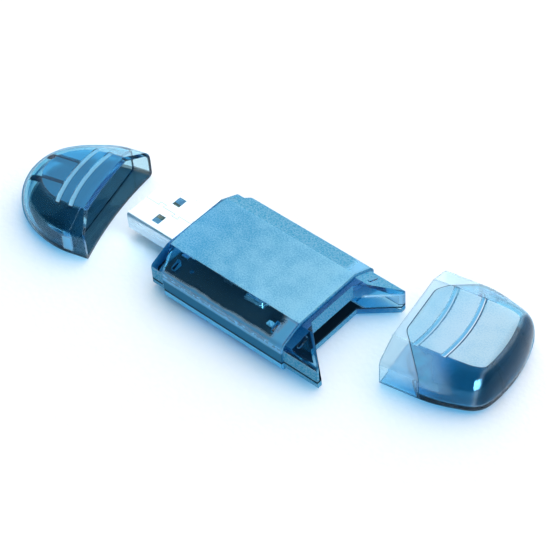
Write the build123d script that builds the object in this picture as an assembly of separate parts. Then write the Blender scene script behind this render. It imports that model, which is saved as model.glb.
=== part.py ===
from build123d import *
import math
import os

# USB memory card reader with both caps off, in millimetres.
# X runs from the plug to the card mouth, Z is up, and the origin is under the middle of the body.

# Body
BODY_LENGTH = 34.7
BODY_SIDE = 1.85
BODY_HEIGHT = 9.0
TOP_FLAT_WIDTH = 16.6
SHOULDER_HEIGHT = 6.5
PARTING_HEIGHT = 2.3
SHELL_WALL = 1.0
RIDGE_RADIUS = 0.7
SHOULDER_RADIUS = 1.8
BASE_RADIUS = 1.0

# Collar that the plug cap slides over
COLLAR_INSET = 0.85
COLLAR_REACH = 0.9
END_WALL = 2.2

# Nose that the card cap slides over, with its forked mouth
NOSE_INSET = 0.6
NOSE_LENGTH = 8.6
MOUTH_SETBACK = 1.2
MOUTH_FLOOR_WIDTH = 12.5
HORN_TIP_WIDTH = 0.6
LOWER_LIP_REACH = 0.7
NOSE_WALL = 2.2
DETENT_LENGTH = 2.9
DETENT_WIDTH = 0.8
DETENT_RISE = 0.25
DETENT_FROM_STEP = 2.6
DETENT_FROM_CENTRE = 10.6

# Curved rim shared by the plug cap and the body's plug end
RIM_SIDE_REACH = 1.9
RIM_TOP_REACH = -0.3
RIM_TURN_HEIGHT = 4.2
RIM_PLAN_RADIUS = 89.0
RIM_GAP = 0.15
RIM_TOOL_DEPTH = 12.0

# Memory card and its slot
CARD_WIDTH = 24.0
CARD_THICKNESS = 2.1
CARD_LENGTH = 32.0
CARD_SIDE_PLAY = 0.15
CARD_HEIGHT_PLAY = 0.4

# Plug
PLUG_REACH = 14.7
PLUG_LENGTH = 18.75
PLUG_WIDTH = 12.0
PLUG_HEIGHT = 4.5
PLUG_BOTTOM = 2.05
PLUG_SHEET = 0.3
PLUG_CORNER = 0.6
PLUG_FIT = 0.1
LATCH_HOLE_LENGTH = 1.9
LATCH_HOLE_WIDTH = 2.4
LATCH_HOLE_SPACING = 6.2
LATCH_HOLE_FROM_TIP = 6.4
SEAM_GAP = 0.08
SEAM_TABS = 3
SEAM_FIRST_TAB = 3.2
SEAM_TAB_SPACING = 4.6
SEAM_TAB_WIDTH = 0.8
SEAM_TAB_HEAD = 1.7
SEAM_TAB_NECK = 1.1
PLUG_EAR_LENGTH = 1.6
PLUG_EAR_REACH = 1.5
PLUG_PIN_WIDTH = 0.7
PLUG_PIN_DEPTH = 1.3
PIN_HOLE = 1.0
SOLDER_TIP = 0.5
SOLDER_FOOT = 1.6
SOLDER_HEIGHT = 0.35

# Plug tongue and contacts
TONGUE_THICKNESS = 1.9
TONGUE_SETBACK = 1.0
TONGUE_FIT = 0.1
TONGUE_BLOCK = 3.8
CONTACT_WIDTH = 1.0
CONTACT_SHEET = 0.2
CONTACT_PLACES = (-3.5, -1.0, 1.0, 3.5)
CONTACT_SETBACK_LONG = 2.2
CONTACT_SETBACK_SHORT = 3.2
CONTACT_FOOT = 1.4
CONTACT_FIT = 0.03
CONTACT_RISER_GAP = 0.15

# Inner features of the shells
LOCATOR_HEIGHT = 0.6
LOCATOR_FIT = 0.05
HOLD_RIB_SETBACK = 2.2
HOLD_RIB_EDGE_GAP = 0.4
HOLD_RIB_WIDTH = 0.8
HOLD_RIB_LENGTH = 2.1
HOLD_RIB_SIDE_GAP = 1.4
CROSS_RIB_INSET = 3.5
CROSS_RIB_WIDTH = 1.0
CROSS_RIB_SIDE_GAP = 2.0

# Circuit board
BOARD_THICKNESS = 0.8
BOARD_EDGE_GAP = 0.4
BOARD_CORNER = 1.2
BOARD_NOTCH_GAP = 0.15
BOARD_BACK_GAP = 0.3
BOARD_FRONT_GAP = 2.4
POST_FROM_PLUG = 3.0
POST_SIDE_GAP = 3.6
POST_DIAMETER = 1.6
POST_PEG_DIAMETER = 0.9
POST_FIT = 0.1

# Card socket
SOCKET_BASE = 0.25
SOCKET_SIDE_GAP = 0.35
SOCKET_COVER_SHEET = 0.2
SOCKET_REAR_WALL = 2.0
CARD_SHOWN_LENGTH = 8.0
SLOT_FOR_STRIP_EXTRA = 0.5
COVER_FLAP_DEPTH = 1.4
SPRING_COUNT = 9
SPRING_SPACING = 2.5
SPRING_WIDTH = 0.8
SPRING_SHEET = 0.15
SPRING_REACH = 6.0
SPRING_DIP = 0.9
SPRING_FOOT = 1.0
SPRING_LEVEL = 0.3
SPRING_RISER_GAP = 0.15
COVER_END_INSET = 0.5
COVER_WINDOW_END_GAP = 6.0
COVER_WINDOW_WIDTH = 3.0
COVER_WINDOW_SPACING = 12.0
LEAF_SIDE_GAP = 0.3
LEAF_SPACING = 0.7
LEAF_WIDTH = 0.45
LEAF_REACH = 4.0
LEAF_FIXED_REACH = 2.5
LEAF_DIP = 0.7

# Controller
CHIP_SIDE = 7.0
CHIP_HEIGHT = 1.1
CHIP_STANDOFF = 0.1
CHIP_FORWARD = -2.5
CHIP_SIDEWAYS = -1.0
LEADS_PER_SIDE = 12
LEAD_SPACING = 0.5
LEAD_WIDTH = 0.22
LEAD_SHEET = 0.13
LEAD_REACH = 1.0
LEAD_FOOT = 0.6
LEAD_EXIT_HEIGHT = 0.55
CHIP_EDGE = 0.2
CHIP_DIMPLE = 0.6

# Small parts on the board: size along X, along Y, height
CRYSTAL_SIZE = (5.0, 3.2, 1.2)
CRYSTAL_LID_INSET = 0.25
CRYSTAL_LID_CORNER = 0.4
CRYSTAL_LID_EDGE = 0.15
CRYSTAL_FOOT_SHARE = 0.4
REGULATOR_SIZE = (1.6, 2.9, 1.1)
REGULATOR_LEAD_SPACING = 0.95
REGULATOR_LEAD_WIDTH = 0.4
LED_SIZE = (1.6, 1.0, 0.9)
LED_LENS_SHARE = 0.8
LED_EDGE_SHARE = 0.15
TANTALUM_SIZE = (3.5, 2.8, 1.6)
CAPACITOR_SIZE = (1.6, 0.8, 0.8)
RESISTOR_SIZE = (1.6, 0.8, 0.5)
FERRITE_SIZE = (2.0, 1.2, 0.9)
CHIP_END_STEP = 0.04
CHIP_END_SHARE = 0.22

# Where the small parts stand: from the board's front, from the plug, or beside the controller
CRYSTAL_FROM_FRONT = 8.8
CRYSTAL_BESIDE = -5.6
LED_FROM_FRONT = 2.4
LED_SIDE_GAP = 0.35
RESISTOR_BY_LED_GAP = 1.3
REGULATOR_FROM_PLUG = 3.3
REGULATOR_SIDE = 5.4
TANTALUM_BESIDE = 7.6
FRONT_CHIP_GAP = 1.1
REAR_CHIP_FROM_PLUG = 3.9
CHIP_ROW = 2.6
CHIP_ROW_SPACING = 2.4

# Caps
CAP_PLAY = 0.1
CAP_WALL = 1.3
CAP_RIB_WIDTH = 0.9
GROOVE_DEPTH = 0.3

USB_CAP_STRAIGHT = 1.5
USB_CAP_DOME = 17.3
USB_CAP_END_SHARE = 0.87
USB_CAP_FROM_PLUG = 8.3
USB_CAP_Y = -4.16
USB_CAP_YAW = 15.3
USB_CAP_GROOVES = (2.9, 6.0)
USB_CAP_GROOVE_WIDTH = 0.9
USB_CAP_GROOVE_BULGE = 1.2
USB_CAP_RIB_SPACING = 6.8
USB_CAP_RIB_FROM = 6.3
USB_CAP_RIB_DEPTH = 1.0

CARD_CAP_LENGTH = 23.0
CARD_CAP_TOP_LENGTH = 19.8
CARD_CAP_END_WIDTH = 23.2
CARD_CAP_TOP_END_WIDTH = 14.2
CARD_CAP_CORNER = 5.0
CARD_CAP_TOP_CORNER = 1.2
CARD_CAP_END_RADIUS = 32.0
CARD_CAP_LIP_GAP = 0.4
CARD_CAP_FROM_HORNS = 5.68
CARD_CAP_Y = 9.0
CARD_CAP_YAW = 10.35
CARD_CAP_GROOVES = (5.0, 11.0)
CARD_CAP_GROOVE_WIDTH = 1.1
CARD_CAP_GROOVE_BULGE = 1.1
CARD_CAP_RIB_SPACING = 9.8
CARD_CAP_RIB_REACH = 3.0

# Places that follow from the sizes above
SLOT_WIDTH = CARD_WIDTH + 2 * CARD_SIDE_PLAY
BODY_WIDTH = SLOT_WIDTH + 2 * BODY_SIDE
INNER_HALF = BODY_WIDTH / 2 - SHELL_WALL
BODY_BACK = -BODY_LENGTH / 2
BODY_FRONT = BODY_LENGTH / 2
COLLAR_BACK = BODY_BACK - COLLAR_REACH
CAVITY_BACK = COLLAR_BACK + END_WALL
MOUTH_FLOOR = BODY_FRONT + MOUTH_SETBACK
CAVITY_FRONT = MOUTH_FLOOR - NOSE_WALL
BOARD_FRONT = CAVITY_FRONT - BOARD_FRONT_GAP
HORN_TIP = BODY_FRONT + NOSE_LENGTH
SLOT_BOTTOM = PARTING_HEIGHT
SLOT_HEIGHT = CARD_THICKNESS + CARD_HEIGHT_PLAY
SLOT_TOP = SLOT_BOTTOM + SLOT_HEIGHT
BOARD_BOTTOM = SLOT_TOP + SOCKET_BASE
BOARD_TOP = BOARD_BOTTOM + BOARD_THICKNESS
SLOPE = math.atan2(BODY_HEIGHT - SHOULDER_HEIGHT, (BODY_WIDTH - TOP_FLAT_WIDTH) / 2)
SOCKET_BACK = MOUTH_FLOOR - (CARD_LENGTH - CARD_SHOWN_LENGTH) - SOCKET_REAR_WALL
PLUG_TIP = BODY_BACK - PLUG_REACH
PLUG_BACK = PLUG_TIP + PLUG_LENGTH
PLUG_TOP = PLUG_BOTTOM + PLUG_HEIGHT
PIN_X = PLUG_BACK - PLUG_EAR_LENGTH / 2
PIN_Y = PLUG_WIDTH / 2 + PLUG_EAR_REACH - PLUG_SHEET / 2
POST_X = PLUG_BACK + POST_FROM_PLUG
POST_Y = INNER_HALF - POST_SIDE_GAP
CHIP_X = (BODY_BACK + BODY_FRONT) / 2 + CHIP_FORWARD
CHIP_Y = CHIP_SIDEWAYS
LEAF_OUTER = SLOT_WIDTH / 2 - LEAF_SIDE_GAP
LEAF_PLACES = (LEAF_OUTER - LEAF_SPACING, LEAF_OUTER)
USB_CAP_X = PLUG_TIP - USB_CAP_FROM_PLUG
CARD_CAP_X = HORN_TIP + CARD_CAP_FROM_HORNS
TONGUE_TOP = PLUG_BOTTOM + PLUG_SHEET + TONGUE_FIT + TONGUE_THICKNESS
STANDING = (Align.CENTER, Align.CENTER, Align.MIN)
TOP_INSET_SHARE = math.tan(SLOPE / 2)
SHOULDER_DROP_SHARE = math.tan((math.pi / 2 - SLOPE) / 2)


def corner_points(inset=0.0):
    """Cross-section of the body, every wall moved inwards by the inset: corners and radii."""
    half_top = TOP_FLAT_WIDTH / 2 - TOP_INSET_SHARE * inset
    half = BODY_WIDTH / 2 - inset
    shoulder = SHOULDER_HEIGHT - SHOULDER_DROP_SHARE * inset
    right = [(half, inset), (half, shoulder), (half_top, BODY_HEIGHT - inset)]
    radii = [max(r - inset, r / 4) for r in (BASE_RADIUS, SHOULDER_RADIUS, RIDGE_RADIUS)]
    left = [(-y, z) for y, z in reversed(right)]
    return right + left, radii + radii[::-1]


def section_bar(x_from, x_to, inset=0.0):
    """Bar of the body's rounded cross-section between two places along X."""
    points, radii = corner_points(inset)
    with BuildSketch(Plane.YZ.offset(x_from)) as sketch:
        with BuildLine():
            FilletPolyline(*points, radius=radii, close=True)
        make_face()
    return extrude(sketch.sketch, amount=x_to - x_from)


def slab(x_from, x_to, y_from, y_to, z_from, z_to):
    """Block between the given limits."""
    size = (x_to - x_from, y_to - y_from, z_to - z_from)
    middle = ((x_from + x_to) / 2, (y_from + y_to) / 2, (z_from + z_to) / 2)
    return Pos(*middle) * Box(*size)


def both_sides(shape):
    """The shape and its mirror image across the middle plane."""
    return [shape, shape.mirror(Plane.XZ)]


def plan_prism(points, z_from, z_to):
    """Upright prism over a plan outline."""
    with BuildSketch(Plane.XY.offset(z_from)) as sketch:
        with BuildLine():
            Polyline(*points, close=True)
        make_face()
    return extrude(sketch.sketch, amount=z_to - z_from)


def strip(path, width, sheet, y_middle):
    """Bent sheet strip that follows a path in XZ, centred on a place along Y."""
    with BuildSketch(Plane.XZ.offset(-y_middle - width / 2)) as sketch:
        with BuildLine():
            Polyline(*path)
        trace(line_width=sheet)
    return extrude(sketch.sketch, amount=width)


def rim_tool(x_rim, side):
    """Solid on one side (+1 or -1) of the curved rim surface, whose top edge is near x_rim."""
    over = BODY_HEIGHT / 3
    deep = side * RIM_TOOL_DEPTH
    low = (x_rim + RIM_SIDE_REACH, -over)
    turn = (x_rim + RIM_SIDE_REACH, RIM_TURN_HEIGHT)
    top = (x_rim + RIM_TOP_REACH, BODY_HEIGHT)
    rise = BODY_HEIGHT - RIM_TURN_HEIGHT
    run = RIM_SIDE_REACH - RIM_TOP_REACH
    radius = (rise * rise + run * run) / (2 * run)
    half_turn = math.asin(rise / radius) / 2
    middle = (turn[0] - radius * (1 - math.cos(half_turn)), turn[1] + radius * math.sin(half_turn))
    lift = (top[0] - over * math.tan(2 * half_turn), BODY_HEIGHT + over)
    with BuildSketch(Plane.XZ) as sketch:
        with BuildLine():
            Line(low, turn)
            ThreePointArc(turn, middle, top)
            Polyline(top, lift, (x_rim + deep, lift[1]), (x_rim + deep, -over), low)
        make_face()
    spin = Axis((x_rim + RIM_PLAN_RADIUS, 0, 0), (0, 0, 1))
    spread = math.degrees(BODY_WIDTH / RIM_PLAN_RADIUS)
    return revolve(sketch.sketch, axis=spin, revolution_arc=2 * spread).rotate(spin, -spread)


def mouth_outline(gap, shift=0.0):
    """Plan of the forked mouth, made smaller by the gap all round, as an open notch."""
    tip_half = BODY_WIDTH / 2 - NOSE_INSET - HORN_TIP_WIDTH
    floor_half = MOUTH_FLOOR_WIDTH / 2
    floor_x = MOUTH_FLOOR + shift
    slope = (tip_half - floor_half) / (HORN_TIP - MOUTH_FLOOR)
    side_gap = gap * math.hypot(1, slope)
    x_in = floor_x + gap
    x_out = HORN_TIP + 2 * NOSE_LENGTH
    half_in = floor_half + slope * gap - side_gap
    half_out = floor_half + slope * (x_out - floor_x) - side_gap
    return [(x_in, -half_in), (x_out, -half_out), (x_out, half_out), (x_in, half_in)]


def plug_box(clearance, x_from, x_to):
    """Block the size of the plug with a clearance all round."""
    half = PLUG_WIDTH / 2 + clearance
    return slab(
        x_from, x_to, -half, half, PLUG_BOTTOM - clearance, PLUG_BOTTOM + PLUG_HEIGHT + clearance
    )


def detents():
    """Small oblong bumps on the horns' sloped shoulders that hold the card cap."""
    x = BODY_FRONT + DETENT_FROM_STEP
    points, _ = corner_points(NOSE_INSET)
    (half, shoulder), (half_top, top) = points[1], points[2]
    height = shoulder + (half - DETENT_FROM_CENTRE) * (top - shoulder) / (half - half_top)
    bump = SlotOverall(DETENT_LENGTH, DETENT_WIDTH)
    bump = extrude(bump, amount=DETENT_RISE, taper=20) + extrude(bump, amount=-DETENT_RISE)
    tilt = Pos(x, DETENT_FROM_CENTRE, height) * Rot(-math.degrees(SLOPE), 0, 0) * Rot(0, 0, 90)
    return both_sides(tilt * bump)


def body_blank():
    """The closed body before it is split: sleeve, collar, forked nose, inside and openings."""
    sleeve = section_bar(COLLAR_BACK, BODY_FRONT) - rim_tool(BODY_BACK + RIM_GAP, -1)
    collar = section_bar(COLLAR_BACK, CAVITY_FRONT, COLLAR_INSET)
    nose = section_bar(CAVITY_BACK, HORN_TIP, NOSE_INSET)
    nose -= section_bar(COLLAR_BACK, BODY_BACK + 2 * RIM_SIDE_REACH + END_WALL, 0)
    blank = sleeve + collar + nose
    for bump in detents():
        blank += bump
    blank -= plan_prism(mouth_outline(0), PARTING_HEIGHT, 2 * BODY_HEIGHT)
    blank -= plan_prism(mouth_outline(0, LOWER_LIP_REACH), -1, PARTING_HEIGHT)
    blank -= section_bar(CAVITY_BACK, CAVITY_FRONT, SHELL_WALL)
    blank -= plug_box(PLUG_FIT, COLLAR_BACK - 1, CAVITY_BACK + 1)
    half_slot = SLOT_WIDTH / 2
    blank -= slab(CAVITY_FRONT - 1, HORN_TIP + 1, -half_slot, half_slot, SLOT_BOTTOM, SLOT_TOP)
    return blank


def locator_bars(clearance):
    """Two locating strips that stand up from the lower shell's side walls."""
    x_from = CAVITY_BACK + SHELL_WALL - clearance
    x_to = CAVITY_FRONT - SHELL_WALL + clearance
    y_out = INNER_HALF + SHELL_WALL / 2 + clearance
    top = PARTING_HEIGHT + LOCATOR_HEIGHT + clearance
    return both_sides(slab(x_from, x_to, INNER_HALF, y_out, PARTING_HEIGHT, top))


def upper_shell():
    """Upper half of the body, with hold-down ribs over the board."""
    keep = slab(-BODY_LENGTH, BODY_LENGTH, -BODY_WIDTH, BODY_WIDTH, PARTING_HEIGHT, 2 * BODY_HEIGHT)
    shell = body_blank() & keep
    for bar in locator_bars(LOCATOR_FIT):
        shell -= bar
    inside = section_bar(CAVITY_BACK, CAVITY_FRONT, SHELL_WALL / 2)
    y_to = INNER_HALF - HOLD_RIB_SIDE_GAP
    y_from = y_to - HOLD_RIB_LENGTH
    for x in (CAVITY_BACK + HOLD_RIB_SETBACK, BOARD_FRONT - HOLD_RIB_EDGE_GAP - HOLD_RIB_WIDTH):
        rib = slab(x, x + HOLD_RIB_WIDTH, y_from, y_to, BOARD_TOP, BODY_HEIGHT)
        for one in both_sides(rib):
            shell += one & inside
    return shell


def lower_shell():
    """Lower half of the body, with locating strips, board posts and cross ribs for the socket."""
    keep = slab(-BODY_LENGTH, BODY_LENGTH, -BODY_WIDTH, BODY_WIDTH, -1, PARTING_HEIGHT)
    shell = body_blank() & keep
    for bar in locator_bars(0):
        shell += bar
    cover_bottom = SLOT_BOTTOM - SOCKET_COVER_SHEET
    half = INNER_HALF - CROSS_RIB_SIDE_GAP
    for x in (SOCKET_BACK + CROSS_RIB_INSET, BOARD_FRONT - CROSS_RIB_INSET - CROSS_RIB_WIDTH):
        shell += slab(x, x + CROSS_RIB_WIDTH, -half, half, SHELL_WALL / 2, cover_bottom)
    for y in (-POST_Y, POST_Y):
        post = Cylinder(POST_DIAMETER / 2, BOARD_BOTTOM - SHELL_WALL / 2, align=STANDING)
        peg = Cylinder(POST_PEG_DIAMETER / 2, BOARD_TOP - SHELL_WALL / 2, align=STANDING)
        shell += Pos(POST_X, y, SHELL_WALL / 2) * (post + peg)
    return shell


def stacked(base, top, inset):
    """Upright wall over the base outline, then a slope up to the top outline."""
    shoulder = SHOULDER_HEIGHT - SHOULDER_DROP_SHARE * inset
    wall = extrude(Pos(0, 0, inset) * base, amount=shoulder - inset)
    return wall + loft([Pos(0, 0, shoulder) * base, Pos(0, 0, BODY_HEIGHT - inset) * top], ruled=True)


def level_edges(hull, z, rim_x):
    """Edges of a cap's form that run round it at one height, apart from the rim."""
    return [
        e for e in hull.edges()
        if abs(e.center().Z - z) < 0.01 and abs(e.center().X - rim_x) > 0.01
        and e.bounding_box().size.Z < 0.01
    ]


def soften(hull, inset, rim_x):
    """Rounds a cap's shoulder and base outside, and bevels its base inside."""
    if inset > 0:
        return chamfer(level_edges(hull, inset, rim_x), BASE_RADIUS / 2)
    hull = fillet(level_edges(hull, SHOULDER_HEIGHT, rim_x), SHOULDER_RADIUS)
    return fillet(level_edges(hull, 0, rim_x), BASE_RADIUS)


def half_section(shift, inset):
    """Upright half of the body's section, moved out from the axis; only the outer form is rounded."""
    points, radii = corner_points(inset)
    right = [(y + shift, z) for y, z in points[:3]]
    path = [(0, right[0][1]), *right, (0, right[-1][1])]
    with BuildSketch(Plane.XZ) as sketch:
        with BuildLine():
            if inset > 0:
                Polyline(*path)
            else:
                FilletPolyline(*path, radius=radii[:3])
            Line(path[-1], path[0])
        make_face()
    return sketch.sketch


def turned_sector(radius, x, y, start, sweep, inset):
    """Part of a cap where the body's section turns about an upright axis at x and y."""
    face = half_section(radius - BODY_WIDTH / 2, inset)
    sector = revolve(face, axis=Axis.Z, revolution_arc=sweep)
    return Pos(x, y, 0) * Rot(0, 0, start) * sector


def usb_cap_hull(inset):
    """Plug cap's form, every wall moved in: the body's section, straight and then round an oval end."""
    half_width = BODY_WIDTH / 2
    end_radius = USB_CAP_END_SHARE * half_width
    end_centre = USB_CAP_DOME - end_radius
    squeeze = half_width - end_radius
    side_radius = (half_width ** 2 + end_centre ** 2 - end_radius ** 2) / (2 * squeeze)
    side_centre = side_radius - half_width
    turn = math.degrees(math.atan2(end_centre, side_centre))
    rim = 2 * (RIM_SIDE_REACH + BODY_WIDTH ** 2 / (8 * RIM_PLAN_RADIUS))
    side = Rot(0, 0, 90) * extrude(half_section(0, inset), amount=USB_CAP_STRAIGHT + rim)
    near, far = both_sides(Pos(-USB_CAP_STRAIGHT, 0, 0) * side)
    hull = near + far
    hull += turned_sector(side_radius, -USB_CAP_STRAIGHT, side_centre, 270 - turn, turn, inset)
    hull += turned_sector(side_radius, -USB_CAP_STRAIGHT, -side_centre, 90, turn, inset)
    end_x = -USB_CAP_STRAIGHT - end_centre
    return hull + turned_sector(end_radius, end_x, 0, 90 + turn, 180 - 2 * turn, inset)


def groove(x_end, bulge, width, half_length):
    """Arc groove across a cap's top flat, bulging towards the closed end."""
    with BuildSketch(Plane.XY.offset(BODY_HEIGHT - GROOVE_DEPTH)) as sketch:
        with BuildLine():
            ThreePointArc((x_end, -half_length), (x_end + bulge, 0), (x_end, half_length))
        trace(line_width=width)
    return extrude(sketch.sketch, amount=2)


def placed(shape, x, y, yaw):
    """A cap moved from its own frame, rim at zero, to where it lies."""
    return Pos(x, y, 0) * Rot(0, 0, yaw) * shape


def usb_cap():
    """Loose cap of the plug end, with a curved rim, a thin lip, ribs and two grooves."""
    cap = usb_cap_hull(0) - usb_cap_hull(CAP_WALL)
    lip_back = -COLLAR_REACH - CAP_PLAY
    cap -= section_bar(lip_back, BODY_WIDTH, COLLAR_INSET - CAP_PLAY)
    cap -= rim_tool(0, 1)
    half_length = TOP_FLAT_WIDTH / 2 + GROOVE_DEPTH
    for x in USB_CAP_GROOVES:
        cap -= groove(-x, -USB_CAP_GROOVE_BULGE, USB_CAP_GROOVE_WIDTH, half_length)
    ceiling = BODY_HEIGHT - CAP_WALL
    rib_back = -USB_CAP_STRAIGHT - USB_CAP_DOME
    keep = usb_cap_hull(CAP_WALL / 2)
    for y in (-USB_CAP_RIB_SPACING / 2, USB_CAP_RIB_SPACING / 2):
        rib = slab(
            rib_back, -USB_CAP_RIB_FROM, y - CAP_RIB_WIDTH / 2, y + CAP_RIB_WIDTH / 2,
            ceiling - USB_CAP_RIB_DEPTH, ceiling + CAP_WALL / 2,
        )
        cap += rib & keep
    return placed(cap, USB_CAP_X, USB_CAP_Y, USB_CAP_YAW)


def card_cap_outline(rim_half, end_half, length, corner, inset, rim_x):
    """Plan of the card cap: straight sides over the lip, bowed in after it, and a bowed end."""
    sag = end_half * end_half / (2 * CARD_CAP_END_RADIUS)
    end_x = length - inset
    corner_x = end_x - sag
    bend_x = NOSE_LENGTH + CARD_CAP_LIP_GAP
    side_middle = ((bend_x + corner_x) / 2, rim_half - (rim_half - end_half) / 4)
    with BuildSketch() as sketch:
        with BuildLine():
            Line((rim_x, -rim_half), (bend_x, -rim_half))
            ThreePointArc((bend_x, -rim_half), (side_middle[0], -side_middle[1]), (corner_x, -end_half))
            ThreePointArc((corner_x, -end_half), (end_x, 0), (corner_x, end_half))
            ThreePointArc((corner_x, end_half), side_middle, (bend_x, rim_half))
            Line((bend_x, rim_half), (rim_x, rim_half))
            Line((rim_x, rim_half), (rim_x, -rim_half))
        make_face()
        ends = sketch.vertices().group_by(Axis.X)[-1]
        fillet(ends, corner)
    return sketch.sketch


def card_cap_hull(inset, rim_x):
    """Card cap's form: upright wall over the base outline, then a slope up to the top outline."""
    shift = TOP_INSET_SHARE * inset
    base = card_cap_outline(
        BODY_WIDTH / 2 - inset, CARD_CAP_END_WIDTH / 2 - inset, CARD_CAP_LENGTH,
        CARD_CAP_CORNER - inset, inset, rim_x,
    )
    top = card_cap_outline(
        TOP_FLAT_WIDTH / 2 - shift, CARD_CAP_TOP_END_WIDTH / 2 - shift, CARD_CAP_TOP_LENGTH,
        CARD_CAP_TOP_CORNER - shift, shift, rim_x,
    )
    return soften(stacked(base, top, inset), inset, rim_x)


def card_cap():
    """Loose cap of the card end, with a thin lip shaped to the horns, ribs and two grooves."""
    cap = card_cap_hull(0, 0) - card_cap_hull(CAP_WALL, -1)
    lip = section_bar(-1, NOSE_LENGTH + CARD_CAP_LIP_GAP, NOSE_INSET - CAP_PLAY)
    block = plan_prism(mouth_outline(CARD_CAP_LIP_GAP), -1, 2 * BODY_HEIGHT)
    cap -= lip - Pos(-BODY_FRONT, 0, 0) * block
    half_length = TOP_FLAT_WIDTH / 2 + GROOVE_DEPTH
    for x in CARD_CAP_GROOVES:
        cap -= groove(x, CARD_CAP_GROOVE_BULGE, CARD_CAP_GROOVE_WIDTH, half_length)
    keep = card_cap_hull(CAP_WALL / 2, 0)
    rib_front = CARD_CAP_LENGTH - CAP_WALL - CARD_CAP_RIB_REACH
    for y in (-CARD_CAP_RIB_SPACING / 2, CARD_CAP_RIB_SPACING / 2):
        rib = slab(
            rib_front, CARD_CAP_LENGTH, y - CAP_RIB_WIDTH / 2, y + CAP_RIB_WIDTH / 2,
            CAP_WALL / 2, BODY_HEIGHT,
        )
        cap += rib & keep
    return placed(cap, CARD_CAP_X, CARD_CAP_Y, CARD_CAP_YAW)


def seam_line():
    """Folded seam of the plug shell: straight, with keyed tabs that lock the two edges."""
    points = [(PLUG_TIP - 1, 0)]
    side = 1
    for tab in range(SEAM_TABS):
        x = PLUG_TIP + SEAM_FIRST_TAB + tab * SEAM_TAB_SPACING
        neck = (SEAM_TAB_HEAD - SEAM_TAB_NECK) / 2
        reach = side * SEAM_TAB_WIDTH
        far = x + SEAM_TAB_HEAD
        points += [(x + neck, 0), (x, reach), (far, reach), (far - neck, 0)]
        side = -side
    return points + [(PLUG_BACK + 1, 0)]


def plug_tube(x_from, x_to, inset):
    """Bar of the plug's rounded section, moved inwards by the inset."""
    radius = max(PLUG_CORNER - inset, PLUG_CORNER / 4)
    plane = Plane.YZ.offset(x_from) * Pos(0, PLUG_BOTTOM + PLUG_HEIGHT / 2, 0)
    face = plane * RectangleRounded(PLUG_WIDTH - 2 * inset, PLUG_HEIGHT - 2 * inset, radius)
    return extrude(face, amount=x_to - x_from)


def plug_ears():
    """Side ears of the plug shell that lie on the board, each with a pin through it."""
    y_in = PLUG_WIDTH / 2 - PLUG_SHEET / 2
    y_out = PIN_Y + PLUG_SHEET / 2
    top = BOARD_TOP + PLUG_SHEET
    ear = slab(PLUG_BACK - PLUG_EAR_LENGTH, PLUG_BACK, y_in, y_out, BOARD_TOP, top)
    half = PLUG_PIN_WIDTH / 2
    pin_from = y_out - PLUG_SHEET
    pin = slab(PIN_X - half, PIN_X + half, pin_from, y_out, BOARD_TOP - PLUG_PIN_DEPTH, top)
    return both_sides(ear + pin)


def latch_holes():
    """Cutters for the two latch holes, through both wide faces of the plug."""
    x = PLUG_TIP + LATCH_HOLE_FROM_TIP
    cutter = Box(LATCH_HOLE_LENGTH, LATCH_HOLE_WIDTH, 2 * PLUG_HEIGHT)
    return [Pos(x, y, PLUG_BOTTOM) * cutter for y in (-LATCH_HOLE_SPACING / 2, LATCH_HOLE_SPACING / 2)]


def usb_plug_shell():
    """Folded steel tube of the plug, with its seam, latch holes and board ears."""
    shell = plug_tube(PLUG_TIP, PLUG_BACK, 0) - plug_tube(PLUG_TIP - 1, PLUG_BACK + 1, PLUG_SHEET)
    for hole in latch_holes():
        shell -= hole
    with BuildSketch(Plane.XY.offset(PLUG_TOP - 2 * PLUG_SHEET)) as sketch:
        with BuildLine():
            Polyline(*seam_line())
        trace(line_width=SEAM_GAP)
    shell -= extrude(sketch.sketch, amount=3 * PLUG_SHEET)
    for ear in plug_ears():
        shell += ear
    return shell


def contact_path(place):
    """Path of one plug contact: along the tongue, up behind it and on to the board."""
    inner = abs(place) < (abs(CONTACT_PLACES[0]) + abs(CONTACT_PLACES[1])) / 2
    setback = CONTACT_SETBACK_SHORT if inner else CONTACT_SETBACK_LONG
    half = CONTACT_SHEET / 2
    riser = PLUG_BACK + CONTACT_RISER_GAP + half
    level = TONGUE_TOP + half
    foot = BOARD_TOP + half
    return [
        (PLUG_TIP + setback, level), (riser, level), (riser, foot),
        (riser + CONTACT_FOOT, foot),
    ]


def usb_contacts():
    """Four plug contacts."""
    return Compound([strip(contact_path(y), CONTACT_WIDTH, CONTACT_SHEET, y) for y in CONTACT_PLACES])


def usb_tongue():
    """Insulator of the plug: a flat tongue and a block that fills the shell behind it."""
    inset = PLUG_SHEET + TONGUE_FIT
    block_front = PLUG_BACK - TONGUE_BLOCK
    bar = plug_tube(PLUG_TIP + TONGUE_SETBACK, PLUG_BACK, inset)
    over = slab(PLUG_TIP, block_front, -PLUG_WIDTH, PLUG_WIDTH, TONGUE_TOP, PLUG_TOP)
    tongue = bar - over
    for y in CONTACT_PLACES:
        half = CONTACT_WIDTH / 2 + CONTACT_FIT
        tongue -= slab(
            block_front - 1, PLUG_BACK + 1, y - half, y + half,
            TONGUE_TOP, TONGUE_TOP + CONTACT_SHEET + CONTACT_FIT,
        )
    return tongue


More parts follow.
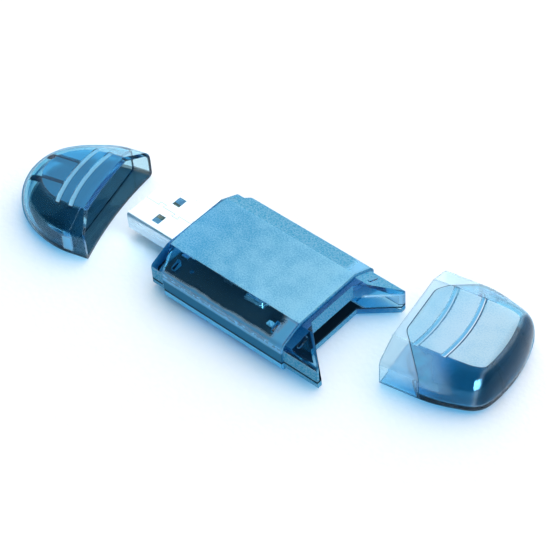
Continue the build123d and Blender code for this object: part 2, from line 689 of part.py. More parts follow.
def circuit_board():
    """Board with a notch for the plug, rounded corners, peg holes and plug pin holes."""
    half = INNER_HALF - BOARD_EDGE_GAP
    x_from = CAVITY_BACK + BOARD_BACK_GAP
    x_to = BOARD_FRONT
    board = slab(x_from, x_to, -half, half, BOARD_BOTTOM, BOARD_TOP)
    board = fillet(board.edges().filter_by(Axis.Z), BOARD_CORNER)
    notch_half = PLUG_WIDTH / 2 + BOARD_NOTCH_GAP
    notch_end = PLUG_BACK + CONTACT_RISER_GAP + CONTACT_SHEET + CONTACT_RISER_GAP
    board -= slab(x_from - 1, notch_end, -notch_half, notch_half, 0, BODY_HEIGHT)
    peg_hole = Cylinder(POST_PEG_DIAMETER / 2 + POST_FIT, BODY_HEIGHT, align=STANDING)
    pin_hole = Cylinder(PIN_HOLE / 2, BODY_HEIGHT, align=STANDING)
    for hole in both_sides(Pos(POST_X, POST_Y, 0) * peg_hole) + both_sides(Pos(PIN_X, PIN_Y, 0) * pin_hole):
        board -= hole
    return board


def plug_solder():
    """Solder cones round the plug's pins under the board."""
    cone = Cone(SOLDER_TIP / 2, SOLDER_FOOT / 2, SOLDER_HEIGHT, align=STANDING)
    cone = Pos(PIN_X, PIN_Y, BOARD_BOTTOM - SOLDER_HEIGHT) * cone
    cone -= Pos(PIN_X, PIN_Y, 0) * Box(PLUG_PIN_WIDTH, PLUG_SHEET, 2 * BODY_HEIGHT)
    return Compound(both_sides(cone))


def socket_half_width():
    """Half the width of the socket frame, inside its cover's side flaps."""
    return INNER_HALF - SOCKET_SIDE_GAP - SOCKET_COVER_SHEET


def card_socket_frame():
    """Frame under the board: roof, two side rails and a rear wall with slots for the springs."""
    half = socket_half_width()
    x_to = BOARD_FRONT
    frame = slab(SOCKET_BACK, x_to, -half, half, SLOT_BOTTOM, BOARD_BOTTOM)
    half_slot = SLOT_WIDTH / 2
    channel = SOCKET_BACK + SOCKET_REAR_WALL
    frame -= slab(channel, x_to + 1, -half_slot, half_slot, SLOT_BOTTOM - 1, SLOT_TOP)
    for y in spring_places():
        frame -= slot_for_strip(y, SPRING_WIDTH)
    for y in LEAF_PLACES:
        for slot in both_sides(slot_for_strip(y, LEAF_WIDTH)):
            frame -= slot
    return frame


def slot_for_strip(y, width):
    """Passage through the socket's rear wall for one strip."""
    half = width / 2 + CONTACT_FIT
    level = SLOT_TOP - SPRING_LEVEL
    return slab(
        SOCKET_BACK - 1, SOCKET_BACK + SOCKET_REAR_WALL + SLOT_FOR_STRIP_EXTRA, y - half, y + half,
        level - SPRING_SHEET, level + SPRING_SHEET,
    )


def card_socket_cover():
    """Folded sheet under the card, with flaps up both sides of the frame and two windows."""
    half = socket_half_width()
    x_from = SOCKET_BACK + COVER_END_INSET
    x_to = BOARD_FRONT - COVER_END_INSET
    low = SLOT_BOTTOM - SOCKET_COVER_SHEET
    cover = slab(
        x_from, x_to, -half - SOCKET_COVER_SHEET, half + SOCKET_COVER_SHEET, low, SLOT_BOTTOM
    )
    flap = slab(x_from, x_to, half, half + SOCKET_COVER_SHEET, low, low + COVER_FLAP_DEPTH)
    for one in both_sides(flap):
        cover += one
    window = Box(x_to - x_from - 2 * COVER_WINDOW_END_GAP, COVER_WINDOW_WIDTH, 4 * SOCKET_COVER_SHEET)
    for one in both_sides(Pos((x_from + x_to) / 2, COVER_WINDOW_SPACING / 2, low) * window):
        cover -= one
    return cover


def spring_places():
    """Places of the card springs along Y."""
    middle = (SPRING_COUNT - 1) / 2
    return [(i - middle) * SPRING_SPACING for i in range(SPRING_COUNT)]


def spring_path(reach, dip):
    """Path of one socket strip: foot under the board, through the wall, arm dipping to the card."""
    half = SPRING_SHEET / 2
    foot = BOARD_BOTTOM - half
    level = SLOT_TOP - SPRING_LEVEL
    riser = SOCKET_BACK - SPRING_RISER_GAP
    tip = SOCKET_BACK + SOCKET_REAR_WALL
    return [
        (riser - SPRING_FOOT, foot), (riser, foot), (riser, level), (tip, level),
        (tip + 0.75 * reach, level - dip), (tip + reach, level - 0.6 * dip),
    ]


def card_contacts():
    """Nine spring contacts of the card socket."""
    path = spring_path(SPRING_REACH, SPRING_DIP)
    return Compound([strip(path, SPRING_WIDTH, SPRING_SHEET, y) for y in spring_places()])


def leaf_pair():
    """A leaf switch: a long moving leaf beside a short fixed one."""
    moving, fixed = LEAF_PLACES
    return [
        strip(spring_path(LEAF_REACH, LEAF_DIP), LEAF_WIDTH, SPRING_SHEET, moving),
        strip(spring_path(LEAF_FIXED_REACH, LEAF_DIP / 2), LEAF_WIDTH, SPRING_SHEET, fixed),
    ]


def detect_switch():
    """Leaf switch that a full-length card closes."""
    return Compound(leaf_pair())


def protect_switch():
    """Leaf switch that reads the card's lock tab."""
    return Compound([leaf.mirror(Plane.XZ) for leaf in leaf_pair()])


def controller_chip():
    """Body of the reader's controller, with its corner dimple."""
    body = Box(CHIP_SIDE, CHIP_SIDE, CHIP_HEIGHT, align=STANDING)
    body = chamfer(body.edges().group_by(Axis.Z)[-1], CHIP_EDGE)
    dimple = Cylinder(CHIP_DIMPLE / 2, CHIP_EDGE, align=STANDING)
    place = -CHIP_SIDE / 2 + 1.5 * CHIP_DIMPLE
    body -= Pos(place, place, CHIP_HEIGHT - CHIP_EDGE / 2) * dimple
    return Pos(CHIP_X, CHIP_Y, BOARD_TOP + CHIP_STANDOFF) * body


def gull_wing(exit_height, reach, foot, sheet, width):
    """One bent lead from a body face at x = 0, along +X, standing on z = 0."""
    half = sheet / 2
    knee = (reach - foot) / 2
    with BuildSketch(Plane.XZ.offset(-width / 2)) as sketch:
        with BuildLine():
            Polyline((0, exit_height), (knee, exit_height), (reach - foot, half), (reach, half))
        trace(line_width=sheet)
    return extrude(sketch.sketch, amount=width)


def controller_leads():
    """Gull-wing leads on the controller's four sides."""
    lead = gull_wing(LEAD_EXIT_HEIGHT, LEAD_REACH, LEAD_FOOT, LEAD_SHEET, LEAD_WIDTH)
    lead = Pos(CHIP_SIDE / 2 + LEAD_SHEET / 2, 0, 0) * lead
    middle = (LEADS_PER_SIDE - 1) / 2
    leads = []
    for turn in range(4):
        for i in range(LEADS_PER_SIDE):
            shift = (i - middle) * LEAD_SPACING
            leads.append(Pos(CHIP_X, CHIP_Y, BOARD_TOP) * Rot(0, 0, 90 * turn) * Pos(0, shift, 0) * lead)
    return Compound(leads)


def chamfered_block(size, edge):
    """Moulded block standing on z = 0 with its top edges bevelled."""
    body = Box(*size, align=STANDING)
    return chamfer(body.edges().group_by(Axis.Z)[-1], edge)


def crystal():
    """Clock crystal: ceramic foot with a drawn metal lid."""
    length, width, height = CRYSTAL_SIZE
    foot = Box(length, width, height * CRYSTAL_FOOT_SHARE, align=STANDING)
    lid = Box(length - 2 * CRYSTAL_LID_INSET, width - 2 * CRYSTAL_LID_INSET, height, align=STANDING)
    lid = fillet(lid.edges().filter_by(Axis.Z), CRYSTAL_LID_CORNER)
    lid = chamfer(lid.edges().group_by(Axis.Z)[-1], CRYSTAL_LID_EDGE)
    return Pos(BOARD_FRONT - CRYSTAL_FROM_FRONT, CHIP_Y + CRYSTAL_BESIDE, BOARD_TOP) * (foot + lid)


def regulator_place():
    """Where the regulator stands: beside the plug's contacts."""
    return PLUG_BACK + REGULATOR_FROM_PLUG, REGULATOR_SIDE


def regulator_body():
    """Body of the voltage regulator, raised on its leads."""
    body = chamfered_block(REGULATOR_SIZE, CHIP_EDGE)
    return Pos(*regulator_place(), BOARD_TOP + CHIP_STANDOFF) * body


def regulator_leads():
    """Three leads of the regulator: two on one side and one on the other."""
    lead = gull_wing(LEAD_EXIT_HEIGHT, LEAD_REACH, LEAD_FOOT, LEAD_SHEET, REGULATOR_LEAD_WIDTH)
    lead = Pos(REGULATOR_SIZE[0] / 2 + LEAD_SHEET / 2, 0, 0) * lead
    at = Pos(*regulator_place(), BOARD_TOP)
    pair = [at * Pos(0, y, 0) * lead for y in (-REGULATOR_LEAD_SPACING, REGULATOR_LEAD_SPACING)]
    return Compound(pair + [at * Rot(0, 0, 180) * lead])


def led_place():
    """Where the light stands: close to the near side wall, under the sloped shoulder."""
    points, _ = corner_points(SHELL_WALL)
    (half, shoulder), (half_top, top) = points[1], points[2]
    over = BOARD_TOP + LED_SIZE[2] - shoulder
    wall = half - max(over, 0) * (half - half_top) / (top - shoulder)
    return BOARD_FRONT - LED_FROM_FRONT, -(wall - LED_SIDE_GAP - LED_SIZE[1] / 2)


def activity_led():
    """Light: flat foot with a round lens, close to the near side wall."""
    length, width, height = LED_SIZE
    foot = Box(length, width, height / 2, align=STANDING)
    lens = Cylinder(width * LED_LENS_SHARE / 2, height, align=STANDING)
    lens = chamfer(lens.edges().group_by(Axis.Z)[-1], width * LED_EDGE_SHARE)
    return Pos(*led_place(), BOARD_TOP) * (foot + lens)


def tantalum_capacitor():
    """Supply capacitor with a bevelled front edge."""
    body = Box(*TANTALUM_SIZE, align=STANDING)
    body = chamfer(body.edges().group_by(Axis.Z)[-1].sort_by(Axis.X)[0], CHIP_EDGE)
    return Pos(CHIP_X, CHIP_Y + TANTALUM_BESIDE, BOARD_TOP) * body


def small_chip(x, y, size, turned=False):
    """Small two-ended chip: end caps a little taller and wider than the middle."""
    length, width, height = size
    end_length = length * CHIP_END_SHARE
    middle = Box(length, width - 2 * CHIP_END_STEP, height - CHIP_END_STEP, align=STANDING)
    end = Pos((length - end_length) / 2, 0, 0) * Box(end_length, width, height, align=STANDING)
    chip = middle + end + end.mirror(Plane.YZ)
    turn = 90 if turned else 0
    return Pos(x, y, BOARD_TOP) * Rot(0, 0, turn) * chip


def front_column(order):
    """Place along X of a column of turned chips in front of the controller."""
    first = CHIP_X + CHIP_SIDE / 2 + LEAD_REACH + FRONT_CHIP_GAP
    return first + order * CHIP_ROW


def rear_column():
    """Place along X of the turned chips between the plug and the controller."""
    return PLUG_BACK + REAR_CHIP_FROM_PLUG


def ceramic_capacitors():
    """Ceramic capacitors beside the controller's supply leads."""
    step = CHIP_ROW_SPACING
    places = [
        (rear_column(), CHIP_Y + step), (rear_column(), CHIP_Y - step / 2),
        (front_column(0), CHIP_Y + step / 2), (front_column(0), CHIP_Y - step / 2),
        (front_column(0), CHIP_Y + 3 * step / 2),
    ]
    return Compound([small_chip(x, y, CAPACITOR_SIZE, True) for x, y in places])


def chip_resistors():
    """Resistors beside the controller and the light."""
    step = CHIP_ROW_SPACING
    led_x, led_y = led_place()
    places = [
        (rear_column(), CHIP_Y - 3 * step / 2), (front_column(1), CHIP_Y + step / 2),
        (front_column(1), CHIP_Y + 3 * step / 2), (front_column(2), CHIP_Y + step / 2),
    ]
    chips = [small_chip(x, y, RESISTOR_SIZE, True) for x, y in places]
    beside = led_y + LED_SIZE[1] / 2 + RESISTOR_BY_LED_GAP
    return Compound(chips + [small_chip(led_x, beside, RESISTOR_SIZE)])


def ferrite_beads():
    """Two ferrite beads: one on each side of the controller."""
    aside = CHIP_SIDE / 2 + LEAD_REACH + FERRITE_SIZE[1] + CHIP_END_STEP
    tantalum_end = CHIP_X - TANTALUM_SIZE[0] / 2
    places = [
        (CHIP_X, CHIP_Y - aside), (tantalum_end - FERRITE_SIZE[0], CHIP_Y + TANTALUM_BESIDE),
    ]
    return Compound([small_chip(x, y, FERRITE_SIZE) for x, y in places])


PARTS = {
    "upper_shell": upper_shell,
    "lower_shell": lower_shell,
    "usb_cap": usb_cap,
    "card_cap": card_cap,
    "usb_plug_shell": usb_plug_shell,
    "usb_tongue": usb_tongue,
    "usb_contacts": usb_contacts,
    "plug_solder": plug_solder,
    "circuit_board": circuit_board,
    "card_socket_frame": card_socket_frame,
    "card_socket_cover": card_socket_cover,
    "card_contacts": card_contacts,
    "detect_switch": detect_switch,
    "protect_switch": protect_switch,
    "controller_chip": controller_chip,
    "controller_leads": controller_leads,
    "crystal": crystal,
    "regulator_body": regulator_body,
    "regulator_leads": regulator_leads,
    "activity_led": activity_led,
    "tantalum_capacitor": tantalum_capacitor,
    "ceramic_capacitors": ceramic_capacitors,
    "chip_resistors": chip_resistors,
    "ferrite_beads": ferrite_beads,
}

os.makedirs("parts", exist_ok=True)
for name, make in PARTS.items():
    export_step(make(), f"parts/{name}.step")
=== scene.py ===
"""Looks of a pocket memory card reader in transparent blue plastic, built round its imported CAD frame."""

import math

import bmesh
import bpy
import numpy as np
from mathutils import Matrix, Vector


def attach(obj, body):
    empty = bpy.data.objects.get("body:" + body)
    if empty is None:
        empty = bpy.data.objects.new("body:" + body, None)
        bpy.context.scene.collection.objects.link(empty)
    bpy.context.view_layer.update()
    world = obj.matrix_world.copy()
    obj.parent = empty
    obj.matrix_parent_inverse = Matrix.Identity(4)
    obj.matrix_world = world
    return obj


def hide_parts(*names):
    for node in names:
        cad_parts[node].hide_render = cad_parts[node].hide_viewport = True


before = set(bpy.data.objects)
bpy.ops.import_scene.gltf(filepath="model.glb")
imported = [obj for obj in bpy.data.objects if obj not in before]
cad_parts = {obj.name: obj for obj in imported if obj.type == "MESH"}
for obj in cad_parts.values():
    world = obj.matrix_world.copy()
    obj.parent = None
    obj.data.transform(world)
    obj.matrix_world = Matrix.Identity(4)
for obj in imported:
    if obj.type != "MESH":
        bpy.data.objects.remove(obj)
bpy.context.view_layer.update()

MM = 0.001

# The camera, fitted to the photograph
CAMERA_AZIMUTH = 44.3638
CAMERA_ELEVATION = 46.4591
CAMERA_ROLL = -4.0027
CAMERA_DISTANCE = 0.405735
CAMERA_TARGET = (0.000828, 0.004047, 0.0)
LENS_PER_SENSOR = 2000 / 560
SENSOR_MM = 36

# The studio: a wide bright screen behind and above the object, and a dim blue room in front
SCREEN_DIRECTION = (0.0, 0.8, 0.6)
SCREEN_EDGE = (0.25, 0.85)
ROOM_LIGHT = (0.075, 0.25, 0.37)
SCREEN_LIGHT = (2.28, 2.24, 2.24)

# A small window in front that gives the glints on the rounded corners
WINDOW_DIRECTION = (0.70, -0.62, 0.38)
WINDOW_DISTANCE = 0.8
WINDOW_SIZE = (0.36, 0.50)
WINDOW_POWER = 46.0

# The white table: how far it reaches to each side, in metres, and how far it lies under the part, in mm
TABLE_REACH = 3.0
TABLE_DROP = 0.02

# Heights on the part, in millimetres; the last lies a hair above the upper face of the caps' floors
BODY_TOP = 9.0
SHOULDER = 6.5
PARTING = 2.3
CAP_FLOOR = 1.35

# The caps' arc grooves: where they lie in depth into the cap, their bulge and width, how far they reach
# sideways, and how deep they are cut
USB_CAP_GROOVES = ((2.9, 6.0), 1.2, 0.9)
CARD_CAP_GROOVES = ((5.0, 11.0), 1.1, 1.1)
GROOVE_REACH = 8.6
GROOVE_DEPTH = 0.3

# Strips of light and shade in the card cap's grooves: from and to as shares of the half width, how much light
# goes through, and the colour
CARD_GROOVE_STRIPS = (
    (-1, 0.1, 0.3, "#7FC6EA"),
    (0.1, 0.45, 0.1, "#F4FAFD"),
    (0.45, 0.9, 0.2, "#2B5E80"),
)

# Where the caps lie: x, y and turn in degrees
USB_CAP_PLACE = (-40.35, -4.16, 15.3)
CARD_CAP_PLACE = (31.63, 9.0, 10.35)

# The blue plastic: its absorption coefficient per millimetre in red, green and blue, the tint of light that
# passes straight through a wall, its index of refraction, and its gloss
PLASTIC_LOSS_PER_MM = (0.50, 0.19, 0.105)
WALL_TINT = (0.74, 0.88, 0.96, 1.0)
PLASTIC_IOR = 1.5
PLASTIC_GLOSS = 0.08
PLASTIC_GLOSS_TINT = "#5CA8D4"

# The caps' section, in mm: half widths at the side and at the top flat, the wall, and the arcs' radii
# from the base to the ridge. The half width is a hair less than the solid's 14.
CAP_HALF = 13.985
TOP_HALF = 8.3
WALL = 1.3
SIDE_RADII = (1.0, 1.8, 0.7)
LEAST_SIDE_RADIUS = 0.4

# The section at a cap's round end: its floor's arc, the height its quarter ellipse starts from, and the
# height from which a place inwards counts towards the top outline
END_RADIUS = 1.7
LEAST_END_RADIUS = 0.6
END_RISE_FROM = 2.4
SLOPE_FROM = 2.0

# Points along a section's floor, side and roof, sections along a cap's straight part, and the angle above
# which an edge is sharp
BOTTOM_STEPS = 8
SIDE_STEPS = 46
TOP_STEPS = 44
INSIDE_STEPS = 14
LIP_STEPS = 8
OUTSIDE_STEPS = 48
SHARP_DEGREES = 38

# The plug cap: its straight part, the reach of its round end and that end's radius as a share of the half
# width, the lip's depth and wall, and the curved rim
USB_STRAIGHT = 1.5
USB_DOME = 17.3
USB_END_SHARE = 0.87
USB_LIP_DEPTH = 1.0
USB_LIP_WALL = 0.75
RIM_TURN_HEIGHT = 4.2
RIM_SIDE_REACH = 1.9
RIM_SWEEP = 2.2
RIM_PLAN_RADIUS = 89.0

# The card cap: where its sides start to bow, its base and top outlines as the end's half width, length and
# the window, in points, that rounds the corner, twice the end's radius, how far the middle line reaches on,
# where the round end's section comes in, and the lip's wall
CARD_BEND = 9.0
CARD_BASE = (11.6, 23.0, 32)
CARD_TOP = (7.1, 19.8, 16)
CARD_END_BOW = 64
CARD_SPINE_REACH = 6
CARD_ROUND_FROM = 9.5
CARD_ROUND_OVER = 9
CARD_LIP_WALL = 0.5

# The card cap's seam in plan: its depth at the middle, where it turns, its slant and its deepest place
SEAM_FRONT = 1.6
SEAM_CORNER = 6.07
SEAM_SLANT = 0.885
SEAM_DEEPEST = 8.7

# The ribs inside the caps: outlines in depth and height, spacing, width and the bevel of their edges
USB_RIB = ((6.4, 6.7), (15.6, 6.7), (15.6, 7.6), (14.2, 8.0), (6.4, 8.0))
CARD_RIB = ((18.6, 1.0), (21.8, 1.0), (21.9, 4.0), (21.4, 6.0), (20.4, 7.7), (18.6, 8.0))
USB_RIB_SPACING = 6.8
CARD_RIB_SPACING = 9.8
RIB_WIDTH = 0.9
RIB_BEVEL = 0.15

# A change from one value to another without corners
SMOOTH = {"interpolation_type": "SMOOTHSTEP"}


def linear(code):
    """A colour given as sRGB hex, in linear light."""
    levels = [int(code[i : i + 2], 16) / 255 for i in (1, 3, 5)]
    values = [c / 12.92 if c <= 0.04045 else ((c + 0.055) / 1.055) ** 2.4 for c in levels]
    return (*values, 1.0)


def view_axes():
    """The camera's right, up and back directions."""
    a = math.radians(CAMERA_AZIMUTH)
    e = math.radians(CAMERA_ELEVATION)
    r = math.radians(CAMERA_ROLL)
    back = Vector((math.sin(a) * math.cos(e), -math.cos(a) * math.cos(e), math.sin(e)))
    right = Vector((math.cos(a), math.sin(a), 0))
    up = back.cross(right)
    turned_right = right * math.cos(r) + up * math.sin(r)
    turned_up = up * math.cos(r) - right * math.sin(r)
    return turned_right, turned_up, back


def make_camera():
    """The camera that took the photograph, aimed at a spot on the table."""
    right, up, back = view_axes()
    data = bpy.data.cameras.new("photo_camera")
    data.sensor_width = SENSOR_MM
    data.lens = LENS_PER_SENSOR * SENSOR_MM
    data.clip_start = 0.01
    data.clip_end = 20
    camera = bpy.data.objects.new("photo_camera", data)
    turn = Matrix((right, up, back)).transposed().to_4x4()
    camera.matrix_world = Matrix.Translation(Vector(CAMERA_TARGET) + back * CAMERA_DISTANCE) @ turn
    bpy.context.scene.collection.objects.link(camera)
    bpy.context.scene.camera = camera


class Finish:
    """A material or a world under work: a shader, and the coats that are laid over its plain settings."""

    def __init__(self, owner):
        owner.use_nodes = True
        self.owner = owner
        self.tree = owner.node_tree
        self.shader = next(n for n in self.tree.nodes if n.type in ("BSDF_PRINCIPLED", "BACKGROUND"))
        self.output = next(n for n in self.tree.nodes if n.type.startswith("OUTPUT"))
        self.point = self.add("TexCoord", out="Object")

    def add(self, kind, inputs=(), out=0, **settings):
        """Adds a node with its settings, sets or links its inputs, and gives back one of its outputs."""
        made = self.tree.nodes.new("ShaderNode" + kind)
        for key, value in settings.items():
            setattr(made, key, value)
        for key, value in inputs.items() if isinstance(inputs, dict) else enumerate(inputs):
            self.feed(made, key, value)
        return made.outputs[out]

    def feed(self, node, key, value):
        """Sets an input to a value, or links it to another node's output."""
        if isinstance(value, bpy.types.NodeSocket):
            self.tree.links.new(value, node.inputs[key])
        else:
            node.inputs[key].default_value = value

    def start(self, **values):
        """Sets the shader's own inputs; an underscore stands for a space."""
        for key, value in values.items():
            self.feed(self.shader, key.replace("_", " "), value)

    def lay(self, mask, **values):
        """Changes the shader's inputs where the mask is 1; an underscore stands for a space."""
        for key, value in values.items():
            socket = self.shader.inputs[key.replace("_", " ")]
            colour = socket.type == "RGBA"
            before = socket.default_value
            if socket.is_linked:
                before = socket.links[0].from_socket
            elif colour:
                before = tuple(before)
            a, b, out = (6, 7, 2) if colour else (2, 3, 0)
            kind = "RGBA" if colour else "FLOAT"
            mixed = self.add("Mix", {0: mask, a: before, b: value}, out, data_type=kind)
            self.tree.links.new(mixed, socket)

    def place_on(self, axis):
        """Place along one axis, in millimetres."""
        metres = self.add("SeparateXYZ", [self.point], axis)
        return self.add("Math", (metres, 1 / MM), operation="MULTIPLY")

    def height(self):
        """Height above the table, in millimetres."""
        return self.place_on("Z")

    def along(self):
        """Place along the reader, in millimetres."""
        return self.place_on("X")

    def across(self):
        """Place across the reader, in millimetres."""
        return self.place_on("Y")

    def on_top(self):
        """1 on the top flat."""
        return self.add("MapRange", (self.height(), BODY_TOP - 0.05, BODY_TOP - 0.03))

    def on_floor(self):
        """1 up to the upper face of a cap's floor."""
        return self.add("MapRange", (self.height(), CAP_FLOOR, CAP_FLOOR + 0.1, 1.0, 0.0))

    def grain(self, size_mm, low=0.0, high=1.0):
        """Random speckle of one size, from fine grain to coarse clouds, as a value from low to high."""
        speckle = self.add("TexNoise", {"Vector": self.point, "Scale": 1 / (size_mm * MM), "Detail": 2.0})
        return self.add("MapRange", (speckle, 0.3, 0.7, low, high), **SMOOTH)

    def both(self, *masks):
        """Where all the masks are 1."""
        found = masks[0]
        for mask in masks[1:]:
            found = self.add("Math", (found, mask), operation="MULTIPLY")
        return found

    def band(self, value, low, high, edge=0.05):
        """1 while the value lies between low and high, with soft edges."""
        rise = self.add("MapRange", (value, low - edge, low + edge), **SMOOTH)
        fall = self.add("MapRange", (value, high - edge, high + edge, 1.0, 0.0), **SMOOTH)
        return self.both(rise, fall)

    def cut_edges(self, radius_mm):
        """1 along the sharp edges, where a rounded copy of the surface turns away from the real one."""
        rounded = self.add("Bevel", {"Radius": radius_mm * MM}, samples=3)
        real = self.add("NewGeometry", out="Normal")
        alike = self.add("VectorMath", (rounded, real), "Value", operation="DOT_PRODUCT")
        return self.add("MapRange", (alike, 0.80, 0.97, 1.0, 0.0), **SMOOTH)

    def upright(self):
        """1 on walls that stand upright."""
        z = self.add("SeparateXYZ", [self.add("NewGeometry", out="Normal")], "Z")
        return self.add("MapRange", (self.add("Math", [z], operation="ABSOLUTE"), 0.3, 0.5, 1.0, 0.0))

    def cap_place(self, place, forward):
        """Depth into a cap from its own origin, near the rim, and the place across it, in millimetres."""
        x, y, yaw = place
        c, s = math.cos(math.radians(yaw)), math.sin(math.radians(yaw))
        found = []
        for a, b in ((c * forward, s * forward), (-s, c)):
            row = self.add("VectorMath", (self.point, (a / MM, b / MM, 0)), "Value", operation="DOT_PRODUCT")
            found.append(self.add("Math", (row, a * x + b * y), operation="SUBTRACT"))
        return found

    def off_groove(self, depth, across, place, bulge):
        """How far a spot on the cap's top lies behind the middle of one arc groove, in millimetres."""
        square = self.add("Math", (across, across), operation="MULTIPLY")
        middle = self.add("Math", (square, -bulge / GROOVE_REACH**2, place + bulge), operation="MULTIPLY_ADD")
        return self.add("Math", (depth, middle), operation="SUBTRACT")

    def groove_part(self, depth, across, grooves, low, high):
        """1 in a strip along each arc groove, from low to high as shares of the groove's half width."""
        places, bulge, width = grooves
        half = width / 2
        strips = [
            self.band(self.off_groove(depth, across, place, bulge), low * half, high * half)
            for place in places
        ]
        either = self.add("Math", strips, operation="MAXIMUM")
        on_top = self.add("MapRange", (self.height(), 8.5, 8.6))
        return self.both(either, self.band(across, -GROOVE_REACH, GROOVE_REACH, 0.2), on_top)


def see_through(work):
    """Lets the light that falls on what is inside pass straight through the walls."""
    shadow = work.add("LightPath", out="Is Shadow Ray")
    diffuse = work.add("LightPath", out="Is Diffuse Ray")
    either = work.add("Math", (shadow, diffuse), operation="MAXIMUM")
    clear = work.add("BsdfTransparent", {"Color": WALL_TINT})
    work.feed(work.output, "Surface", work.add("MixShader", (either, work.shader.outputs[0], clear)))


def soak_up(work):
    """Darkens light by how far it travels inside the walls."""
    most = max(PLASTIC_LOSS_PER_MM)
    colour = [1 - loss / most for loss in PLASTIC_LOSS_PER_MM]
    absorbed = work.add("VolumeAbsorption", {"Color": (*colour, 1.0), "Density": most / MM})
    work.feed(work.output, "Volume", absorbed)


def clear_plastic(name, scuff_and_sheen_from, scuff_and_sheen_to):
    """Injection moulded polycarbonate, tinted blue in the melt and polished: it shows what is inside.

    At a low angle, its scuffed polish and a painted sheen hide the inside and show the plastic's own blue.
    """
    work = Finish(bpy.data.materials.new(name))
    work.start(IOR=PLASTIC_IOR, Base_Color=linear("#E6F4FA"), Transmission_Weight=1.0, Roughness=0.03)
    work.start(Specular_IOR_Level=PLASTIC_GLOSS, Specular_Tint=linear(PLASTIC_GLOSS_TINT))
    grazing = work.add("LayerWeight", {"Blend": 0.5}, "Facing")
    slanting = work.add("MapRange", (grazing, scuff_and_sheen_from, scuff_and_sheen_to), **SMOOTH)
    scuffs_and_sheen = work.both(slanting, work.grain(0.35, 0.8, 1.0))
    # Painted sheen: at low angles the surface turns rough and nearly opaque and is painted a deeper blue,
    # speckled by a scuffed grain.
    work.lay(scuffs_and_sheen, Roughness=0.8, Transmission_Weight=0.1, Base_Color=linear("#318FB3"))
    return work


def finish_plastic(work):
    """Cut edges painted dark, a painted shade for the light caught in them, and the way light goes through
    the walls.
    """
    # Painted shade: the sharp edges are painted dark blue.
    work.lay(work.cut_edges(0.2), Roughness=0.3, Transmission_Weight=0.15, Base_Color=linear("#1B3A50"))
    see_through(work)
    soak_up(work)
    return work.owner


def frost(work, where, pale, deep, see):
    """Spark-eroded top: fine grain and soft clouds, from deep at the plug end to pale at the other."""
    clouds = work.grain(4.0, 0.0, 0.35)
    speckle = work.grain(0.3, 0.0, 0.7)
    slope = work.add("MapRange", (work.along(), -17, 17, -0.25, 0.3), **SMOOTH)
    share = work.add("Math", (work.add("Math", (clouds, speckle)), slope))
    colour = work.add("Mix", {0: share, 6: linear(deep), 7: linear(pale)}, 2, data_type="RGBA")
    work.lay(where, Roughness=0.5, Transmission_Weight=see, Base_Color=colour)
    strength = work.add("Math", (where, 0.5), operation="MULTIPLY")
    bumps = {"Height": work.grain(0.2), "Distance": 0.03 * MM, "Strength": strength}
    work.start(Normal=work.add("Bump", bumps))


def paint_shoulder_light(work):
    """Upper shell's shoulders: painted light past the ragged end of the dark shape, and along the near low
    edge.
    """
    z, x, y = work.height(), work.along(), work.across()
    ragged = work.add("Math", (x, work.grain(1.5, -0.5, 0.5)))
    slanted = work.add("Math", (z, -0.35, ragged), operation="MULTIPLY_ADD")
    past_board = work.add("MapRange", (slanted, 10.6, 12.4), **SMOOTH)
    shoulder = work.both(work.band(z, 5.9, 8.9, 0.2), past_board, work.band(x, 0, 17.1, 0.2))
    # Painted light: the shoulder is painted paler where the dark board inside ends.
    work.lay(shoulder, Roughness=0.2, Transmission_Weight=0.45, Base_Color=linear("#78C4E6"))
    wavy = work.add("Math", (z, work.grain(4.0, -0.1, 0.1)))
    painted_light_low_edge = work.both(
        work.add("MapRange", (wavy, 6.6, 7.1, 1.0, 0.0), **SMOOTH),
        work.band(z, 6.4, 8.0),
        work.add("MapRange", (y, -12.7, -12.9)),
    )
    # Painted light: a wavy pale band along the near shoulder's low edge.
    work.lay(painted_light_low_edge, Roughness=0.15, Transmission_Weight=0.4, Base_Color=linear("#6FB4DA"))


def paint_side_shade_and_light(work, side):
    """Upper shell's near side: a rougher band of painted shade low down, and a strip of painted highlight
    above it.
    """
    z = work.height()
    painted_shade_band = work.both(side, work.band(z, 2.3, 4.9, 0.3))
    # Painted shade: a darker, rougher band low on the near side.
    work.lay(painted_shade_band, Roughness=0.4, Transmission_Weight=0.1, Base_Color=linear("#246C8D"))
    painted_strip = work.both(side, work.band(z, 4.9, 6.3, 0.3), work.grain(1.0, 0.6, 1.0))
    # Painted highlight: a pale strip along the near side, under the shoulder.
    work.lay(painted_strip, Roughness=0.3, Transmission_Weight=0.3, Base_Color=linear("#7CC4EA"))


